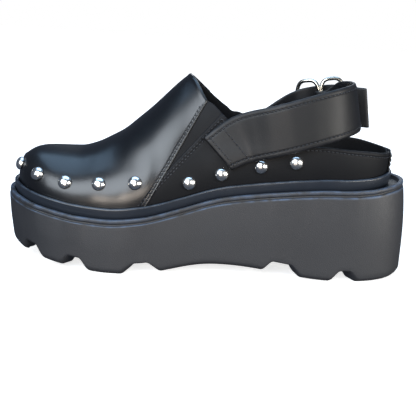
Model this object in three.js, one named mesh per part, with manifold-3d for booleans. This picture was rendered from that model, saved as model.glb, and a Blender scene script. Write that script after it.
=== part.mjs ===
// Studded platform clog with a buckled strap behind the heel: one right shoe.
// Millimetres. +X runs to the toe, +Y to the inner side of the foot and +Z up.
// The origin lies on the floor under the middle of the sole.
//
// Every long piece is laid out on one plan outline. A place along the shoe is a share of
// half the sole length, from -1 at the heel to 1 at the toe, and "inset" is the distance
// in from the sole's widest outline.

import * as THREE from 'three';
import { mergeVertices } from 'three/addons/utils/BufferGeometryUtils.js';
import Module from 'manifold-3d';

const wasm = await Module();
wasm.setup();

// Sole unit
const SOLE_LENGTH = 272;
const SOLE_BALL_WIDTH = 111;
const SOLE_HEEL_WIDTH = 84;
const BALL_HEIGHT = 35.3;
const HEEL_HEIGHT = 61;
const TOE_LIFT = 10;
const SEAT_LIFT = 5;
const TOE_SPRING = 11.5;
const ARCH_RISE = 7.2;
const HEEL_BEVEL = 2.5;
const NOTCH_HEIGHT = 7.5;
const EDGE_ROUND = 3.6;
const LUG_ROUND_SHARE = 0.35;
const TOE_ROUND = 2;
const HEEL_ROUND = 6;
const TOE_LEAN = 3;
const HEEL_TUCK = 2.6;
const TOE_SWING = 5;
const GROOVE_DEPTH = 1.5;
const GROOVE_HEIGHT = 1.6;
const BEAD_HEIGHT = 3.2;
const BEAD_WIDTH = 3.2;
const TRENCH_DEPTH = 3;

// Upper
const WALL = 1.8;
const VAMP_STEP = 1;
const QUARTER_STEP = 0.7;
const TOE_MARGIN = 8.4;
const SIDE_MARGIN = 11.2;
const HEEL_MARGIN = 17.5;
const INSTEP_HEIGHT = 86;
const TOE_BOX_HEIGHT = 37.5;
const HEEL_CUP_HEIGHT = 25.5;
const SWELL = 2;
const SWELL_HEIGHT = 38;

// Welt, insole, back strip and studs
const WELT_THICKNESS = 2.8;
const WELT_RISE = 6.2;
const INSOLE_THICKNESS = 5.5;
const INSOLE_ROOM = 0.2;
const BACK_STRIP_WIDTH = 22;
const BACK_STRIP_THICKNESS = 1;
const STUD_DIAMETER = 9;
const STUD_DOME = 3.2;
const STUD_LINE = 12;

// Straps and buckle
const LONG_STRAP_WIDTH = 30;
const SHORT_STRAP_WIDTH = 28;
const STRAP_THICKNESS = 2.8;
const SHORT_STRAP_THICKNESS = 2.2;
const FOLD_THICKNESS = 1.6;
const FOLD_WIDTH = 21.5;
const FOLD_ROOM = 0.9;
const ANKLE_SPREAD = 38.5;
const BUCKLE_WIRE = 2.8;
const BUCKLE_HEIGHT = 42;
const RING_LENGTH = 17.4;
const RING_FLARE = 3.9;
const PUNCH_RADIUS = 1.5;
const PUNCH_PITCH = 6.5;
const TAIL_LENGTH = 15.2;
const TAIL_DROP = 3.5;
const PRONG_WIDTH = 2.4;
const LONG_STAND = 0.5;
const SHORT_STAND = 0.4;

// Clearance between pieces that touch on the real shoe
const GAP = 0.3;

// How finely the outline is cut
const OUTLINE_STEPS = 84;
const ARCH_STEPS = 16;

const HALF_LENGTH = SOLE_LENGTH / 2;
const SEAT_CLIMB = HEEL_HEIGHT - BALL_HEIGHT;

// Share of the way from the heel's half width to the ball's, on each side of the foot
const breadthRows = [
  { at: -1, inner: 0, outer: 0 },
  { at: -0.611, inner: 0.02, outer: 0.04 },
  { at: -0.305, inner: 0, outer: 0.22 },
  { at: 0, inner: 0.14, outer: 0.6 },
  { at: 0.255, inner: 0.72, outer: 0.97 },
  { at: 0.458, inner: 1.03, outer: 1.03 },
  { at: 0.611, inner: 1.06, outer: 0.98 },
  { at: 0.814, inner: 1.02, outer: 0.9 },
  { at: 1, inner: 0.95, outer: 0.8 },
];

// Bead height: shares of the climb from ball to heel, of the toe's lift and of the seat's
const seatRows = [
  { at: -1, climb: 1, toe: 0, back: 1.05 },
  { at: -0.916, climb: 1, toe: 0, back: 0.8 },
  { at: -0.764, climb: 1, toe: 0, back: 0.2 },
  { at: -0.611, climb: 1, toe: 0, back: 0 },
  { at: -0.458, climb: 0.945, toe: 0, back: 0 },
  { at: -0.224, climb: 0.787, toe: 0, back: 0 },
  { at: -0.071, climb: 0.655, toe: 0, back: 0 },
  { at: 0.132, climb: 0.335, toe: 0, back: 0 },
  { at: 0.316, climb: 0.086, toe: 0, back: 0 },
  { at: 0.478, climb: 0, toe: 0, back: 0 },
  { at: 0.611, climb: 0, toe: 0.09, back: 0 },
  { at: 0.784, climb: 0, toe: 0.42, back: 0 },
  { at: 1, climb: 0, toe: 1, back: 0 },
];

// Notches between the lugs, from one side of the sole to the other, as places along its
// outline
const notchRows = [
  { frontFoot: 0.895, frontRoof: 0.877, rearRoof: 0.818, rearFoot: 0.785 },
  { frontFoot: 0.686, frontRoof: 0.654, rearRoof: 0.592, rearFoot: 0.558 },
  { frontFoot: 0.396, frontRoof: 0.338, rearRoof: 0.27, rearFoot: 0.214 },
  { frontFoot: -0.287, frontRoof: -0.326, rearRoof: -0.424, rearFoot: -0.468 },
  { frontFoot: -0.62, frontRoof: -0.656, rearRoof: -0.712, rearFoot: -0.752 },
];

// Ridge of the last: shares of the instep height and of the toe box height, and how
// square its cross-section is
const ridgeRows = [
  { at: -1, instep: 1.05, toe: 0, square: 3.4 },
  { at: -0.407, instep: 1.1, toe: 0, square: 3 },
  { at: 0, instep: 1.06, toe: 0, square: 2.3 },
  { at: 0.143, instep: 0.972, toe: 0, square: 2.1 },
  { at: 0.295, instep: 0.78, toe: 0.04, square: 2.1 },
  { at: 0.407, instep: 0.585, toe: 0.17, square: 2.15 },
  { at: 0.509, instep: 0.35, toe: 0.47, square: 2.25 },
  { at: 0.59, instep: 0.12, toe: 0.83, square: 2.35 },
  { at: 0.662, instep: 0.02, toe: 0.97, square: 2.4 },
  { at: 0.814, instep: 0, toe: 0.96, square: 2.5 },
  { at: 0.916, instep: 0, toe: 0.93, square: 2.6 },
  { at: 1, instep: 0, toe: 0.9, square: 2.6 },
];

// Collar above the bead: shares of the instep height and of the heel cup height
const collarRows = [
  { at: -1, inner: 0, outer: 0.005, cup: 0.7 },
  { at: -0.896, inner: 0, outer: 0.015, cup: 0.72 },
  { at: -0.753, inner: 0, outer: 0.022, cup: 0.9 },
  { at: -0.601, inner: 0, outer: 0.015, cup: 1 },
  { at: -0.468, inner: 0, outer: 0.01, cup: 1.06 },
  { at: -0.295, inner: 0.05, outer: 0.1, cup: 1.07 },
  { at: -0.183, inner: 0.2, outer: 0.25, cup: 0.8 },
  { at: -0.132, inner: 0.36, outer: 0.41, cup: 0.4 },
  { at: -0.075, inner: 0.54, outer: 0.57, cup: 0 },
  { at: -0.037, inner: 0.617, outer: 0.63, cup: 0 },
  { at: 0.007, inner: 0.698, outer: 0.706, cup: 0 },
  { at: 0.039, inner: 0.743, outer: 0.768, cup: 0 },
  { at: 0.074, inner: 0.843, outer: 0.838, cup: 0 },
  { at: 0.1, inner: 0.915, outer: 0.892, cup: 0 },
  { at: 0.124, inner: 0.955, outer: 0.942, cup: 0 },
  { at: 0.138, inner: 0.972, outer: 0.972, cup: 0 },
];

// Seams as straight lines from the collar to the welt, seen from the side: place along
// the shoe and height as a share of the instep height above the floor
const vampSeam = { topAt: 0.038, top: 1.3, footAt: 0.287, foot: 0.523 };
const goreSeam = { topAt: -0.037, top: 1.209, footAt: 0.181, foot: 0.812 };

// Studs: place along the upper's own outline, and height above the welt as a share of
// the stud line
const studRows = [
  { at: 0.975, rise: 1 },
  { at: 0.868, rise: 1 },
  { at: 0.724, rise: 1 },
  { at: 0.555, rise: 1.2 },
  { at: 0.373, rise: 1.26 },
  { at: 0.105, rise: 0.66 },
  { at: -0.057, rise: 0.69 },
  { at: -0.255, rise: 0.87 },
  { at: -0.432, rise: 0.96 },
];

// Smooth curve through one column of a table, with no overshoot between its rows
function through(rows, column) {
  const slopes = rows.slice(1).map((row, i) =>
    (row[column] - rows[i][column]) / (row.at - rows[i].at));
  const tangents = rows.map((row, i) => {
    const before = slopes[Math.max(i - 1, 0)];
    const after = slopes[Math.min(i, slopes.length - 1)];
    return before * after <= 0 ? 0 : (2 * before * after) / (before + after);
  });
  return at => {
    let i = 0;
    while (i < rows.length - 2 && at > rows[i + 1].at) i += 1;
    const width = rows[i + 1].at - rows[i].at;
    const t = THREE.MathUtils.clamp((at - rows[i].at) / width, 0, 1);
    const rest = 1 - t;
    return (1 + 2 * t) * rest * rest * rows[i][column] + t * rest * rest * width * tangents[i]
      + t * t * (3 - 2 * t) * rows[i + 1][column] - t * t * rest * width * tangents[i + 1];
  };
}

const share = {
  inner: through(breadthRows, 'inner'),
  outer: through(breadthRows, 'outer'),
  climb: through(seatRows, 'climb'),
  toe: through(seatRows, 'toe'),
  back: through(seatRows, 'back'),
  ridgeInstep: through(ridgeRows, 'instep'),
  ridgeToe: through(ridgeRows, 'toe'),
  square: through(ridgeRows, 'square'),
  collarInner: through(collarRows, 'inner'),
  collarOuter: through(collarRows, 'outer'),
  collarCup: through(collarRows, 'cup'),
};

const smooth = THREE.MathUtils.smoothstep;
const clamp01 = value => THREE.MathUtils.clamp(value, 0, 1);

// Value that changes from the side of the shoe to its toe and heel ends
function byPlace(s, toe, side, heel) {
  const end = Math.abs(s) ** 4;
  return side + ((s > 0 ? toe : heel) - side) * end;
}

// Rounded ends of the plan outline. A fuller end stays wide for longer.
const TOE_FULLNESS = 4.2;
const HEEL_FULLNESS = 6.5;
const roundEnd = s => Math.sqrt(Math.max(0, 1 - Math.abs(s) ** (s > 0 ? TOE_FULLNESS : HEEL_FULLNESS)));

// The widest place of each side lies half the ball width from the middle
function rawBreadth(s, side) {
  const k = side > 0 ? share.inner(s) : share.outer(s);
  return THREE.MathUtils.lerp(SOLE_HEEL_WIDTH / 2, SOLE_BALL_WIDTH / 2, k);
}
const stations = Array.from({ length: 401 }, (_, i) => i / 200 - 1);
const widest = side => Math.max(...stations.map(s => rawBreadth(s, side) * roundEnd(s)));
const trim = { inner: SOLE_BALL_WIDTH / 2 / widest(1), outer: SOLE_BALL_WIDTH / 2 / widest(-1) };
const breadth = (s, side) => rawBreadth(s, side) * (side > 0 ? trim.inner : trim.outer);
const swing = s => TOE_SWING * smooth(s, 0.5, 1);

// Point of the outline at an inset. The angle runs round the shoe from the toe.
function planPoint(angle, inset) {
  const s = Math.cos(angle);
  const side = Math.sin(angle) >= 0 ? 1 : -1;
  return {
    x: (HALF_LENGTH - inset) * s,
    y: swing(s) + side * (breadth(s, side) - inset) * roundEnd(s),
    s,
  };
}

// Heights along the shoe, by place
const beadTop = s => BALL_HEIGHT + SEAT_CLIMB * share.climb(s) + TOE_LIFT * share.toe(s)
  + SEAT_LIFT * share.back(s);
const trenchFloor = s => beadTop(s) - TRENCH_DEPTH;
const grooveLine = s => beadTop(s) - BEAD_HEIGHT;

// Places where the foot of the sole leaves the floor, and how slowly the toe spring starts
const SPRING_START = 0.475;
const SPRING_CURVE = 1.4;
const ARCH_FRONT = 0.37;
const ARCH_TOP = -0.06;
const ARCH_REAR = -0.65;
const BEVEL_START = -0.88;

function footLine(s) {
  const spring = TOE_SPRING * clamp01((s - SPRING_START) / (1 - SPRING_START)) ** SPRING_CURVE;
  const archPhase = s > ARCH_TOP ? (ARCH_FRONT - s) / (ARCH_FRONT - ARCH_TOP)
    : (s - ARCH_REAR) / (ARCH_TOP - ARCH_REAR);
  const arch = ARCH_RISE * Math.sin(clamp01(archPhase) * Math.PI / 2) ** 2;
  const bevel = HEEL_BEVEL * clamp01((BEVEL_START - s) / (1 + BEVEL_START)) ** 2;
  return spring + arch + bevel;
}

// How far a place lies up into a notch, from 0 at the foot of a lug to 1 at its roof
function notchShare(s) {
  let most = 0;
  for (const row of notchRows) {
    const front = (row.frontFoot - s) / (row.frontFoot - row.frontRoof);
    const rear = (s - row.rearFoot) / (row.rearRoof - row.rearFoot);
    most = Math.max(most, Math.min(front, rear, 1));
  }
  return most;
}

// Angles round the sole: even steps, and one at each corner of each notch
function soleAngles() {
  const corners = notchRows.flatMap(row =>
    [row.frontFoot, row.frontRoof, row.rearRoof, row.rearFoot].map(Math.acos));
  const even = Array.from({ length: OUTLINE_STEPS / 2 + 1 }, (_, i) =>
    2 * Math.PI * i / OUTLINE_STEPS);
  const near = 0.4 * 2 * Math.PI / OUTLINE_STEPS;
  const kept = even.filter(a => corners.every(c => Math.abs(a - c) > near));
  const half = [...kept, ...corners].sort((a, b) => a - b);
  const mirrored = half.slice(1, -1).reverse().map(a => 2 * Math.PI - a);
  return [...half, ...mirrored];
}

const evenAngles = Array.from({ length: OUTLINE_STEPS }, (_, i) => 2 * Math.PI * i / OUTLINE_STEPS);

// Triangles of a grid of rings. Each ring is a list of points round the shoe that starts
// at the toe, and the first and last rings are closed by strips across the shoe.
function solidOfRings(rings) {
  const count = rings[0].length;
  const triangles = [];
  const quad = (a, b, c, d) => triangles.push(a, b, c, a, c, d);
  for (let r = 0; r < rings.length - 1; r += 1) {
    for (let i = 0; i < count; i += 1) {
      const next = (i + 1) % count;
      quad(r * count + i, r * count + next, (r + 1) * count + next, (r + 1) * count + i);
    }
  }
  const cap = (r, flip) => {
    for (let i = 0; i < count / 2; i += 1) {
      const corner = [i, i + 1, count - i - 1, (count - i) % count].map(n => r * count + n);
      if (flip) corner.reverse();
      quad(...corner);
    }
  };
  cap(0, true);
  cap(rings.length - 1, false);
  return geometryOf(rings.flat(), triangles);
}

// Closed ring, such as a welt: the rings go round its section and meet again
function bandOfRings(rings) {
  const count = rings[0].length;
  const triangles = [];
  rings.forEach((ring, r) => {
    const up = (r + 1) % rings.length;
    for (let i = 0; i < count; i += 1) {
      const next = (i + 1) % count;
      triangles.push(r * count + i, r * count + next, up * count + next);
      triangles.push(r * count + i, up * count + next, up * count + i);
    }
  });
  return geometryOf(rings.flat(), triangles);
}

// Indexed geometry with shared vertices merged and flat triangles left out
function geometryOf(points, triangles) {
  const loose = new THREE.BufferGeometry();
  loose.setAttribute('position', new THREE.Float32BufferAttribute(points.flat(), 3));
  loose.setIndex(triangles);
  return cleaned(loose);
}

function cleaned(geometry) {
  const bare = new THREE.BufferGeometry();
  bare.setAttribute('position', geometry.getAttribute('position'));
  if (geometry.index) bare.setIndex(geometry.index);
  const merged = mergeVertices(bare, 1e-3);
  const index = merged.index.array;
  const kept = [];
  for (let i = 0; i < index.length; i += 3) {
    const [a, b, c] = [index[i], index[i + 1], index[i + 2]];
    if (a !== b && b !== c && c !== a) kept.push(a, b, c);
  }
  if (signedVolume(merged.getAttribute('position'), kept) < 0) kept.reverse();
  merged.setIndex(kept);
  return merged;
}

// Volume of a closed mesh, below zero where its faces point inwards
function signedVolume(position, index) {
  const corner = [0, 1, 2].map(() => new THREE.Vector3());
  let volume = 0;
  for (let i = 0; i < index.length; i += 3) {
    corner.forEach((point, k) => point.fromBufferAttribute(position, index[i + k]));
    volume += corner[0].dot(corner[1].cross(corner[2])) / 6;
  }
  return volume;
}

// Between three.js geometry and manifold solids
function solidFrom(geometry) {
  const clean = cleaned(geometry);
  return new wasm.Manifold(new wasm.Mesh({
    numProp: 3,
    vertProperties: Float32Array.from(clean.getAttribute('position').array),
    triVerts: Uint32Array.from(clean.index.array),
  }));
}

function geometryFrom(solid) {
  const mesh = solid.getMesh();
  const geometry = new THREE.BufferGeometry();
  geometry.setAttribute('position', new THREE.BufferAttribute(mesh.vertProperties, 3));
  geometry.setIndex(new THREE.BufferAttribute(mesh.triVerts, 1));
  return geometry;
}

// Ring at an inset, with its height a function of the place
function ringAt(angles, inset, height) {
  return angles.map(angle => {
    const distance = typeof inset === 'function' ? inset(Math.cos(angle)) : inset;
    const p = planPoint(angle, distance);
    return [p.x, p.y, height(p.x / HALF_LENGTH, p.s, distance)];
  });
}

// How far the top of the side wall draws in, as a share of the edge rounding
const LIP_ROUND = 0.2;

// The side wall of the sole, from its foot up. round and ends are shares of the edge and
// end rounding, level is the share of the wall's height and rise a share of the rounding.
const wallRows = [
  { round: 1, ends: 1, rise: 0, level: 0 },
  { round: 0.3, ends: 0.42, rise: 0.32, level: 0 },
  { round: 0.03, ends: 0.05, rise: 1, level: 0.02 },
  { round: 0, ends: 0, rise: 0, level: 0.45 },
  { round: 0.08, ends: 0, rise: 0, level: 0.8 },
  { round: LIP_ROUND, ends: 0, rise: 0, level: 1 },
];

const edgeRound = s => EDGE_ROUND * THREE.MathUtils.lerp(1, LUG_ROUND_SHARE, notchShare(s));

function wallInset(s, row) {
  const toeEnd = Math.max(0, s) ** 6;
  const heelEnd = Math.max(0, -s) ** 6;
  return row.round * edgeRound(s) + row.ends * (s > 0 ? TOE_ROUND : HEEL_ROUND) * Math.abs(s) ** 8
    + TOE_LEAN * (1 - row.level) * toeEnd + HEEL_TUCK * row.level ** 3 * heelEnd
    - LIP_ROUND * EDGE_ROUND * row.level * toeEnd;
}

const lipInset = s => wallInset(s, wallRows.at(-1));

// How the notches' walls go in from the sole's outline to the underside: 0 is straight
// across the shoe and 1 along the outline's own turn
const UNDERSIDE_INSET = 12;
const NOTCH_SLANT = 0.75;

// Angle at which the underside's ring lies straight across from the sole's outline
function straightAcross(angle) {
  const s = HALF_LENGTH * Math.cos(angle) / (HALF_LENGTH - UNDERSIDE_INSET);
  const turned = Math.acos(THREE.MathUtils.clamp(s, -1, 1));
  return angle > Math.PI ? 2 * Math.PI - turned : turned;
}

function outsole() {
  const angles = soleAngles();
  const underside = angles.map(angle => {
    const turned = THREE.MathUtils.lerp(straightAcross(angle), angle, NOTCH_SLANT);
    const p = planPoint(turned, UNDERSIDE_INSET);
    const notch = NOTCH_HEIGHT * notchShare(Math.cos(angle));
    return [p.x, p.y, footLine(p.x / HALF_LENGTH) + notch];
  });
  const wall = wallRows.map(row => ringAt(angles, s => wallInset(s, row), (x, s) => {
    const low = footLine(x) + NOTCH_HEIGHT * notchShare(s);
    const lip = grooveLine(x) - GROOVE_HEIGHT / 2;
    const rise = row.rise * edgeRound(s);
    return low + rise + row.level * (lip - low - rise);
  }));
  const beadFace = GROOVE_DEPTH / 5;
  const beadRound = BEAD_WIDTH / 5;
  const inner = s => lipInset(s) + beadFace + BEAD_WIDTH;
  const top = [
    ringAt(angles, s => lipInset(s) + GROOVE_DEPTH, grooveLine),
    ringAt(angles, s => lipInset(s) + beadFace, x => grooveLine(x) + GROOVE_HEIGHT / 2),
    ringAt(angles, s => lipInset(s) + beadFace + beadRound, beadTop),
    ringAt(angles, inner, beadTop),
    ringAt(angles, s => inner(s) + beadRound, trenchFloor),
  ];
  return solidOfRings([underside, ...wall, ...top]);
}

// Margin between the sole's outline and the upper's own surface at its foot
const margin = s => byPlace(s, TOE_MARGIN, SIDE_MARGIN, HEEL_MARGIN);

// The upper swells out a little above its foot
const swell = lift => SWELL * Math.sin(Math.PI * clamp01(lift / SWELL_HEIGHT));

// Height of the last at a place. It rounds over steeply at the very toe and heel.
const ROUND_OVER = { fullness: 14, power: 0.286 };
function ridgeHeight(x, s) {
  const roundOver = Math.max(0, 1 - Math.abs(s) ** ROUND_OVER.fullness) ** ROUND_OVER.power;
  const full = INSTEP_HEIGHT * share.ridgeInstep(x) + TOE_BOX_HEIGHT * share.ridgeToe(x);
  return full * roundOver;
}

// Point of the last's surface, "out" beyond the upper's inner layer. The turn runs from 0
// at the inner foot over the ridge to 1 at the outer foot.
function lastPoint(angle, turn, out) {
  const s = Math.cos(angle);
  const length = HALF_LENGTH - margin(s) + out;
  const x = length * s / HALF_LENGTH;
  const power = 2 / share.square(x);
  const rise = Math.sin(Math.PI * turn) ** power * (ridgeHeight(x, s) + out * roundEnd(s));
  const spread = Math.abs(Math.cos(Math.PI * turn)) ** power;
  const side = turn < 0.5 ? 1 : -1;
  const bulge = swell(rise);
  return [
    (length + bulge) * s,
    swing(s) + side * (breadth(s, side) - margin(s) + out + bulge) * roundEnd(s) * spread,
    trenchFloor(x) + GAP + rise,
  ];
}

// Turns over the last, closer together near both feet where the wall swells
const FOOT_CLOSENESS = 1.7;
const archTurns = Array.from({ length: ARCH_STEPS + 1 }, (_, k) => {
  const fromMiddle = 2 * k / ARCH_STEPS - 1;
  return 0.5 + 0.5 * Math.sign(fromMiddle) * (1 - (1 - Math.abs(fromMiddle)) ** FOOT_CLOSENESS);
});

// Closed form of the last at a distance out, reaching below its foot by "under"
function lastForm(out, under) {
  const count = OUTLINE_STEPS / 2;
  const rows = [];
  for (let j = 0; j <= count; j += 1) {
    const angle = Math.PI * j / count;
    const arch = archTurns.map(turn => lastPoint(angle, turn, out));
    const first = arch[0];
    const last = arch[ARCH_STEPS];
    rows.push([[first[0], first[1], first[2] - under], ...arch,
      [last[0], last[1], last[2] - under]]);
  }
  const width = ARCH_STEPS + 3;
  const triangles = [];
  for (let j = 0; j < count; j += 1) {
    for (let k = 0; k < width; k += 1) {
      const next = (k + 1) % width;
      const corner = [j * width + k, j * width + next, (j + 1) * width + next,
        (j + 1) * width + k];
      triangles.push(corner[0], corner[2], corner[1], corner[0], corner[3], corner[2]);
    }
  }
  return solidFrom(geometryOf(rows.flat(), triangles));
}

// Y of the last's surface at a place and height seen from the side
function surfaceY(x, z, side, out) {
  const lift = Math.max(0, z - trenchFloor(x / HALF_LENGTH) - GAP);
  let s = x / HALF_LENGTH;
  for (let i = 0; i < 6; i += 1) s = x / (HALF_LENGTH - margin(s) + out + swell(lift));
  s = THREE.MathUtils.clamp(s, -1, 1);
  const high = ridgeHeight(x / HALF_LENGTH, s) + out * roundEnd(s);
  const power = share.square(x / HALF_LENGTH);
  const spread = Math.max(0, 1 - Math.min(1, lift / high) ** power) ** (1 / power);
  return swing(s) + side * (breadth(s, side) - margin(s) + out + swell(lift)) * roundEnd(s) * spread;
}

function surfaceNormal(x, z, side, out) {
  const step = 0.5;
  const dx = (surfaceY(x + step, z, side, out) - surfaceY(x - step, z, side, out)) / 2 / step;
  const dz = (surfaceY(x, z + step, side, out) - surfaceY(x, z - step, side, out)) / 2 / step;
  return new THREE.Vector3(-dx, 1, -dz).multiplyScalar(side).normalize();
}

// Solid seen from the side as a polygon, between two places across the shoe
function sideBlock(corners, from, to) {
  const outline = new THREE.Shape(corners.map(([x, z]) => new THREE.Vector2(x, z)));
  const block = new THREE.ExtrudeGeometry(outline, { depth: to - from, bevelEnabled: false });
  block.rotateX(Math.PI / 2);
  block.translate(0, to, 0);
  return solidFrom(block);
}

const collarHeight = (at, side) => beadTop(at) + HEEL_CUP_HEIGHT * share.collarCup(at)
  + INSTEP_HEIGHT * (side > 0 ? share.collarInner(at) : share.collarOuter(at));

// What the collar's opening takes away on one side
function collarBlock(side) {
  const sky = HEEL_HEIGHT + 1.5 * INSTEP_HEIGHT;
  const edge = [];
  for (let i = 0; i <= 36; i += 1) {
    const at = THREE.MathUtils.lerp(collarRows[0].at, collarRows.at(-1).at, i / 36);
    edge.push([at * HALF_LENGTH, collarHeight(at, side)]);
  }
  const corners = [...edge, [edge.at(-1)[0], sky], [edge[0][0], sky]];
  return side > 0 ? sideBlock(corners, 0, SOLE_BALL_WIDTH) : sideBlock(corners, -SOLE_BALL_WIDTH, 0);
}

// Everything in front of a seam, or behind it
function seamBlock(seam, ahead) {
  const top = { x: seam.topAt * HALF_LENGTH, z: seam.top * INSTEP_HEIGHT };
  const foot = { x: seam.footAt * HALF_LENGTH, z: seam.foot * INSTEP_HEIGHT };
  const slope = (foot.x - top.x) / (foot.z - top.z);
  const sky = 2 * INSTEP_HEIGHT;
  const far = (ahead ? 1 : -1) * SOLE_LENGTH;
  const high = [top.x + slope * (sky - top.z), sky];
  const low = [top.x + slope * (0 - top.z), 0];
  const corners = ahead ? [low, [far, 0], [far, sky], high] : [[far, 0], low, high, [far, sky]];
  return sideBlock(corners, -SOLE_BALL_WIDTH, SOLE_BALL_WIDTH);
}

function upper() {
  const gores = lastForm(0, 0);
  const vamp = lastForm(VAMP_STEP, 0).intersect(seamBlock(vampSeam, true));
  const quarters = lastForm(QUARTER_STEP, 0).intersect(seamBlock(goreSeam, false));
  return gores.add(vamp).add(quarters)
    .subtract(lastForm(-WALL, 2 * TRENCH_DEPTH))
    .subtract(collarBlock(1))
    .subtract(collarBlock(-1));
}

// Outermost margin of the layered upper at its foot
const upperFoot = s => margin(s) - VAMP_STEP;

function welt() {
  const height = TRENCH_DEPTH + WELT_RISE - GAP;
  const round = WELT_THICKNESS / 4;
  const ring = (depth, lift) => ringAt(evenAngles,
    s => upperFoot(s) - GAP - depth - swell(lift), x => trenchFloor(x) + GAP + lift);
  return bandOfRings([
    ring(0, 0),
    ring(WELT_THICKNESS, 0),
    ring(WELT_THICKNESS, height - round),
    ring(WELT_THICKNESS - round, height),
    ring(0, height),
  ]);
}

function insole() {
  const side = s => margin(s) + WALL + INSOLE_ROOM + GAP;
  const foot = x => trenchFloor(x) + GAP;
  const round = INSOLE_THICKNESS / 4;
  return solidOfRings([
    ringAt(evenAngles, side, foot),
    ringAt(evenAngles, side, x => foot(x) + INSOLE_THICKNESS - round),
    ringAt(evenAngles, s => side(s) + round, x => foot(x) + INSOLE_THICKNESS),
  ]);
}

// Solid of even thickness on a grid of points. The grid's rows are lists of points, and
// its normals come from its own neighbours.
function sheetSolid(grid, thickness) {
  const rows = grid.length;
  const columns = grid[0].length;
  const at = (i, j) => grid[clampIndex(i, rows)][clampIndex(j, columns)];
  const front = [];
  const back = [];
  for (let i = 0; i < rows; i += 1) {
    for (let j = 0; j < columns; j += 1) {
      const along = at(i + 1, j).clone().sub(at(i - 1, j));
      const across = at(i, j + 1).clone().sub(at(i, j - 1));
      const normal = along.cross(across).normalize();
      const half = (typeof thickness === 'function' ? thickness(i) : thickness) / 2;
      front.push(grid[i][j].clone().addScaledVector(normal, half).toArray());
      back.push(grid[i][j].clone().addScaledVector(normal, -half).toArray());
    }
  }
  const size = rows * columns;
  const id = (i, j) => i * columns + j;
  const triangles = [];
  const quad = (a, b, c, d) => triangles.push(a, b, c, a, c, d);
  for (let i = 0; i < rows - 1; i += 1) {
    for (let j = 0; j < columns - 1; j += 1) {
      quad(id(i, j), id(i + 1, j), id(i + 1, j + 1), id(i, j + 1));
      quad(size + id(i, j), size + id(i, j + 1), size + id(i + 1, j + 1), size + id(i + 1, j));
    }
  }
  const rim = [];
  for (let j = 0; j < columns - 1; j += 1) rim.push(id(0, j));
  for (let i = 0; i < rows - 1; i += 1) rim.push(id(i, columns - 1));
  for (let j = columns - 1; j > 0; j -= 1) rim.push(id(rows - 1, j));
  for (let i = rows - 1; i > 0; i -= 1) rim.push(id(i, 0));
  rim.forEach((a, n) => {
    const b = rim[(n + 1) % rim.length];
    quad(a, b, size + b, size + a);
  });
  return geometryOf([...front, ...back], triangles);
}

const clampIndex = (i, count) => Math.min(Math.max(i, 0), count - 1);

// Turn of the outline from the back seam to the strip's edge. Near the heel the outline
// turns this far for each heel width along it.
const HEEL_TURN = 0.62;
const BACK_STRIP_TURN = HEEL_TURN * BACK_STRIP_WIDTH / SOLE_HEEL_WIDTH;

// Strip over the back seam, from the welt to the collar
function backStrip() {
  const out = QUARTER_STEP + GAP + BACK_STRIP_THICKNESS / 2;
  const grid = [];
  for (let i = 0; i <= 8; i += 1) {
    const row = [];
    for (let j = 0; j <= 4; j += 1) {
      const angle = Math.PI + (i / 4 - 1) * BACK_STRIP_TURN;
      const s = Math.cos(angle);
      const side = angle < Math.PI ? 1 : -1;
      const x = (HALF_LENGTH - margin(s)) * s;
      const place = x / HALF_LENGTH;
      const weltPlace = (HALF_LENGTH - upperFoot(s) + GAP + WELT_THICKNESS) * s / HALF_LENGTH;
      const low = beadTop(weltPlace) + WELT_RISE + GAP;
      const high = collarHeight(place, side) - GAP;
      const z = THREE.MathUtils.lerp(low, high, j / 4);
      const lift = z - trenchFloor(place) - GAP;
      const reach = out + swell(lift);
      const y = side * (breadth(s, side) - margin(s) + reach) * roundEnd(s);
      row.push(new THREE.Vector3((HALF_LENGTH - margin(s) + reach) * s, y, z));
    }
    grid.push(row);
  }
  return sheetSolid(grid, BACK_STRIP_THICKNESS);
}

// Dome stud on the upper's surface. Its shoulder is a share of its radius and height.
const STUD_SHOULDER = { out: 0.78, up: 0.68 };
function studGeometry() {
  const r = STUD_DIAMETER / 2;
  const shoulder = [STUD_SHOULDER.out * r, STUD_SHOULDER.up * STUD_DOME];
  const profile = [[0, 0], [r, 0], shoulder, [0, STUD_DOME]];
  return new THREE.LatheGeometry(profile.map(([a, b]) => new THREE.Vector2(a, b)), 10);
}

function studs() {
  const made = [];
  for (const [sideName, side] of [['inner', 1], ['outer', -1]]) {
    studRows.forEach((row, index) => {
      const out = row.at > 0.2 ? VAMP_STEP : QUARTER_STEP;
      const x0 = (HALF_LENGTH - margin(row.at)) * row.at;
      const z = beadTop(x0 / HALF_LENGTH) + WELT_RISE + STUD_LINE * row.rise;
      const lift = z - trenchFloor(x0 / HALF_LENGTH) - GAP;
      const x = (HALF_LENGTH - margin(row.at) + out + swell(lift)) * row.at;
      const normal = surfaceNormal(x, z, side, out);
      const stud = new THREE.Mesh(studGeometry(), materials.metal);
      stud.name = `stud_${sideName}_${index + 1}`;
      stud.quaternion.setFromUnitVectors(new THREE.Vector3(0, 1, 0), normal);
      stud.position.set(x, surfaceY(x, z, side, out), z).addScaledVector(normal, GAP);
      made.push(stud);
    });
  }
  return made;
}

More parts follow.
